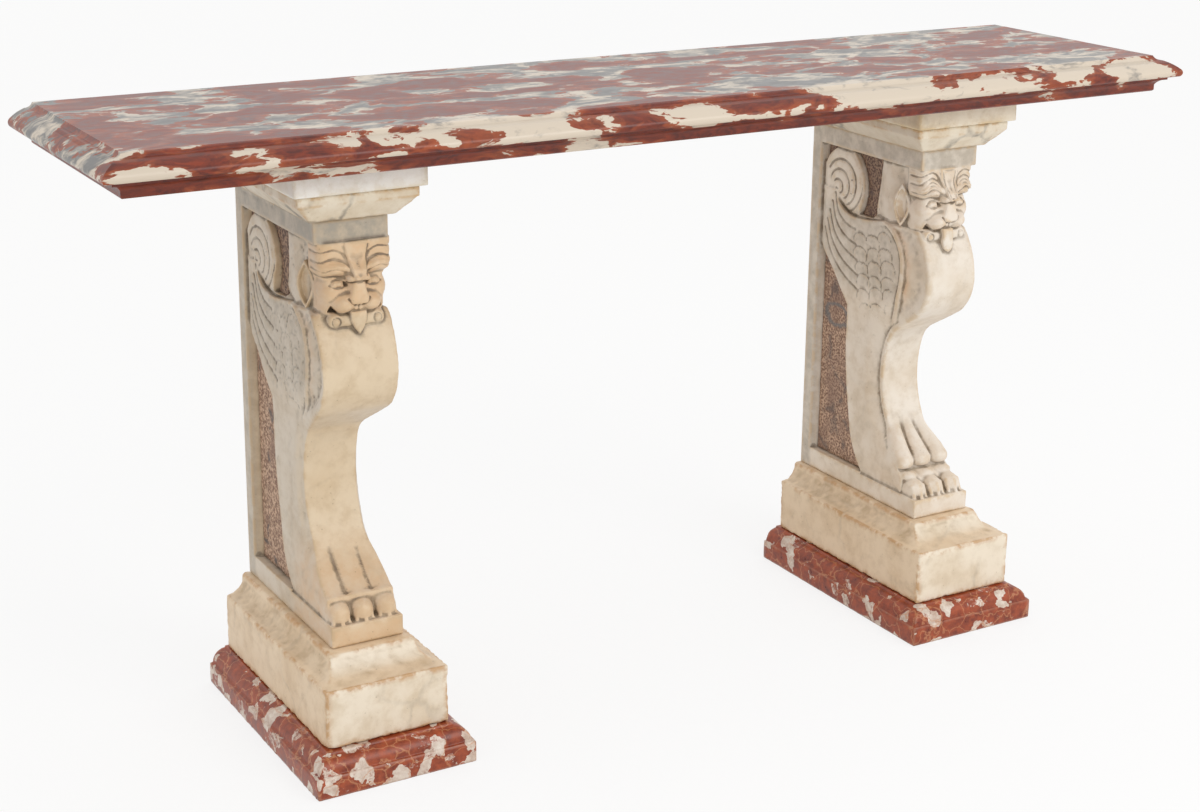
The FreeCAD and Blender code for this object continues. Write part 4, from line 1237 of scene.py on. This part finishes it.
def red_marble(bed):
    """Polished red marble: deep red in long clouds of cream and grey with orange rims, redder near its bed.
    The grey of the pale clouds is partly the stone's and partly painted reflection, stronger away from the
    front lip. The old polish gives soft reflections."""
    material, tree, shader, place = start_material("red_cloud_marble_polished")
    drawn = add(tree, "Mapping", {"Vector": place, "Scale": SLAB_DRAW, "Rotation": (0.0, 0.0, SLAB_TURN)})
    warp = add(tree, "TexNoise", {"Vector": drawn, "Scale": 1 / (SLAB_BEND * MM), "Detail": 4.0}, "Color")
    moved = add(tree, "VectorMath", {0: warp, 1: [SLAB_BEND_REACH * MM] * 3, 2: drawn},
                operation="MULTIPLY_ADD")
    cloud = add(tree, "TexNoise", {"Vector": moved, "Scale": 1 / (SLAB_CLOUD * MM), "Detail": 8.0,
                                   "Roughness": 0.56})
    fine = add(tree, "TexNoise", {"Vector": moved, "Scale": 1 / (SLAB_SHADE * MM), "Detail": 7.0,
                                  "Roughness": 0.65})
    level = add(tree, "SeparateXYZ", {0: place}, "Z")
    beds = add(tree, "MapRange", {0: level, 1: (bed + RED_BED[0]) * MM, 2: (bed + RED_BED[1]) * MM,
                                  3: -0.1, 4: 0.0}, **SMOOTH)
    depth = add(tree, "SeparateXYZ", {0: place}, "Y")
    lip_cream_and_top_reflection = add(tree, "MapRange", {0: depth, 1: -CREAM_LIP[0] * MM, 2: -CREAM_LIP[1] * MM,
                                 3: 0.0, 4: 0.05}, **SMOOTH)
    rank = add(tree, "Math", {0: add(tree, "Math", {0: cloud, 1: beds}), 1: lip_cream_and_top_reflection})
    pale = add(tree, "MapRange", {0: rank, 1: 0.512, 2: 0.524}, **SMOOTH)
    rim = add(tree, "MapRange", {0: rank, 1: 0.44, 2: 0.51, 3: 0.0, 4: 0.9}, **SMOOTH)
    rim = add(tree, "Math", {0: rim, 1: fine}, operation="MULTIPLY")
    shade = add(tree, "MapRange", {0: fine, 1: 0.35, 2: 0.65})
    red = add(tree, "Mix", {0: shade, 6: linear("#521607"), 7: linear("#87310f")}, 2, **RGBA)
    rimmed = add(tree, "Mix", {0: rim, 6: red, 7: linear("#b25a2c")}, 2, **RGBA)
    wisp = add(tree, "TexNoise", {"Vector": moved, "Scale": 1 / (SLAB_WISP * MM), "Detail": 6.0,
                                  "Roughness": 0.6})
    # Painted reflection: the pale clouds turn greyer away from the lip, over the top. The grey wisps
    # themselves are the stone's.
    wisp = add(tree, "Math", {0: lip_cream_and_top_reflection, 1: 4.5, 2: wisp}, operation="MULTIPLY_ADD")
    grey = add(tree, "MapRange", {0: wisp, 1: 0.42, 2: 0.66}, **SMOOTH)
    cream = add(tree, "Mix", {0: grey, 6: linear("#72706e"), 7: linear("#d6c8b5")}, 2, **RGBA)
    stone = add(tree, "Mix", {0: pale, 6: rimmed, 7: cream}, 2, **RGBA)
    gloss = add(tree, "MapRange", {0: fine, 1: 0.3, 2: 0.7, 3: 0.28, 4: 0.42})
    relief = add(tree, "Bump", {"Height": cloud, "Strength": 0.1, "Distance": 1.0 * MM})
    fill(tree, shader, {"Base Color": stone, "Roughness": gloss, "Normal": relief, "IOR": STONE_IOR})
    return material


slab_low, slab_high = node_box("table_top")
slab_thick = slab_high[2] - slab_low[2]
slab_profile = [(SLAB_FASCIA_INSET + SLAB_ARRIS, 0), (SLAB_FASCIA_INSET, SLAB_ARRIS)]
slab_profile += bow((SLAB_FASCIA_INSET, SLAB_FASCIA_TOP), (SLAB_FILLET_INSET, SLAB_FILLET[0]), SLAB_HOLLOW)
slab_profile += [(SLAB_FILLET_INSET, SLAB_FILLET[1])]
nose_foot, nose_top = [(SLAB_NOSE_INSET, height) for height in SLAB_NOSE]
slab_profile += bow(nose_foot, nose_top, -SLAB_NOSE_ROUND)
slab_profile += bow(nose_top, SLAB_NOSE_BACK, -SLAB_NOSE_BACK_ROUND)[1:]
slab_profile += bow(SLAB_NOSE_BACK, (SLAB_TOP_INSET, slab_thick), SLAB_TOP_HOLLOW)[1:]
# Each ring of four points goes from the back round the left end, the front and the right end to the back.
rings = []
for inset, height in slab_profile:
    left, right, front = slab_low[0] + inset, slab_high[0] - inset, slab_low[1] + inset
    for across, back in ((left, slab_high[1]), (left, front), (right, front), (right, slab_high[1])):
        rings.append((across, back, slab_low[2] + height))
count = len(slab_profile)
faces = [(4 * i + k, 4 * i + k + 1, 4 * i + k + 5, 4 * i + k + 4)
         for i in range(count - 1) for k in range(3)]
faces += [(3, 2, 1, 0), tuple(4 * count - 4 + k for k in range(4))]
faces += [tuple(range(0, 4 * count, 4)) + tuple(range(4 * count - 1, 0, -4))]
slab_mesh = bpy.data.meshes.new("moulded_slab")
slab_mesh.from_pydata(np.array(rings) * MM, [], faces)
slab_mesh.shade_smooth()
slab_mesh.set_sharp_from_angle(angle=SLAB_SHARP)
slab = bpy.data.objects.new("moulded_slab", slab_mesh)
bpy.context.scene.collection.objects.link(slab)
seat(slab, red_marble(slab_low[2]), "red_marble", "table_top")

# Brass dowels
# Square bars cut from drawn brass, two in each bed joint. They pin the stones, run in with mortar and
# hidden inside, and keep their CAD shape.

# Drawn brass: dull yellow metal with a fine uneven sheen. Its marks are finer than a tenth of a millimetre,
# so they are drawn as coarse as 2 mm.
BRASS_MARK = 2
brass, tree, shader, place = start_material("brass_bar_drawn")
scratch = add(tree, "TexNoise", {"Vector": place, "Scale": 1 / (BRASS_MARK * MM), "Detail": 4.0})
tone = add(tree, "Mix", {0: scratch, 6: linear("#8a6a2e"), 7: linear("#c09a4e")}, 2, **RGBA)
rough = add(tree, "MapRange", {0: scratch, 3: 0.3, 4: 0.5})
fill(tree, shader, {"Base Color": tone, "Metallic": 1.0, "Roughness": rough})
for joint in ("foot", "paw", "cap"):
    for side in ("left", "right"):
        bar = bpy.data.objects["dowels_%s_%s" % (joint, side)]
        bar.data.materials.clear()
        bar.data.materials.append(brass)

# Floor, light and camera
# A plain pale floor that keeps the shadow, a white surround with one softbox as in a studio, and the
# photograph's own view. Places here are in metres.
FLOOR_SIZE = 40
FLOOR_GLOW = 0.8
SKY_LIGHT = 0.85
LAMP_POWER = 40
LAMP_SIZE = 2.0
LAMP_AT = (1.2, -3.0, 2.8)
LAMP_TURN = (50, 0, 22)
LENS = 62.7
LENS_SHIFT = (-0.0018, -0.0696)
VIEW_AT = (-1.5742, -2.563, 1.4059)
VIEW_TURN = (73.787, -0.637, -30.257)


def seen_rays(tree):
    """One for the rays that only show a surface: those of the camera, of mirrors and of glass."""
    path = add(tree, "LightPath", {}, "Is Camera Ray").node
    rays = [path.outputs[name] for name in ("Is Camera Ray", "Is Glossy Ray", "Is Transmission Ray")]
    seen = add(tree, "Math", {0: rays[0], 1: rays[1]}, operation="ADD")
    return add(tree, "Math", {0: seen, 1: rays[2]}, operation="ADD", use_clamp=True)


def stand(name, data, place, turn):
    """Puts a lamp or a camera at its place, turned by angles in degrees."""
    thing = bpy.data.objects.new(name, data)
    thing.location = place
    thing.rotation_euler = [math.radians(angle) for angle in turn]
    bpy.context.scene.collection.objects.link(thing)
    return thing


bpy.ops.mesh.primitive_plane_add(size=FLOOR_SIZE)
floor = bpy.context.object
floor.name = "floor"
# Matt pale paint: a soft shadow and no shine. To the camera it also glows, so that it meets the white.
pale_floor = bpy.data.materials.new("pale_floor_matt")
pale_floor.use_nodes = True
tree = pale_floor.node_tree
matt = tree.nodes["Principled BSDF"]
fill(tree, matt, {"Base Color": linear("#f6f5f3"), "Roughness": 0.9})
glow = add(tree, "Emission", {"Color": linear("#ffffff"), "Strength": 1.0})
share = add(tree, "Math", {0: seen_rays(tree), 1: FLOOR_GLOW}, operation="MULTIPLY")
both = add(tree, "MixShader", {0: share, 1: matt.outputs[0], 2: glow})
fill(tree, tree.nodes["Material Output"], {"Surface": both})
floor.data.materials.append(pale_floor)
world = bpy.data.worlds.new("studio")
bpy.context.scene.world = world
world.use_nodes = True
tree = world.node_tree
sky = add(tree, "MapRange", {0: seen_rays(tree), 3: SKY_LIGHT, 4: 1.0})
fill(tree, tree.nodes["Background"], {"Color": linear("#ffffff"), "Strength": sky})
lamp = bpy.data.lights.new("softbox", "AREA")
lamp.energy = LAMP_POWER
lamp.size = LAMP_SIZE
stand("softbox", lamp, LAMP_AT, LAMP_TURN)
lens = bpy.data.cameras.new("photograph")
lens.lens = LENS
lens.shift_x, lens.shift_y = LENS_SHIFT
bpy.context.scene.camera = stand("photograph", lens, VIEW_AT, VIEW_TURN)
bpy.context.scene.view_settings.view_transform = "Standard"
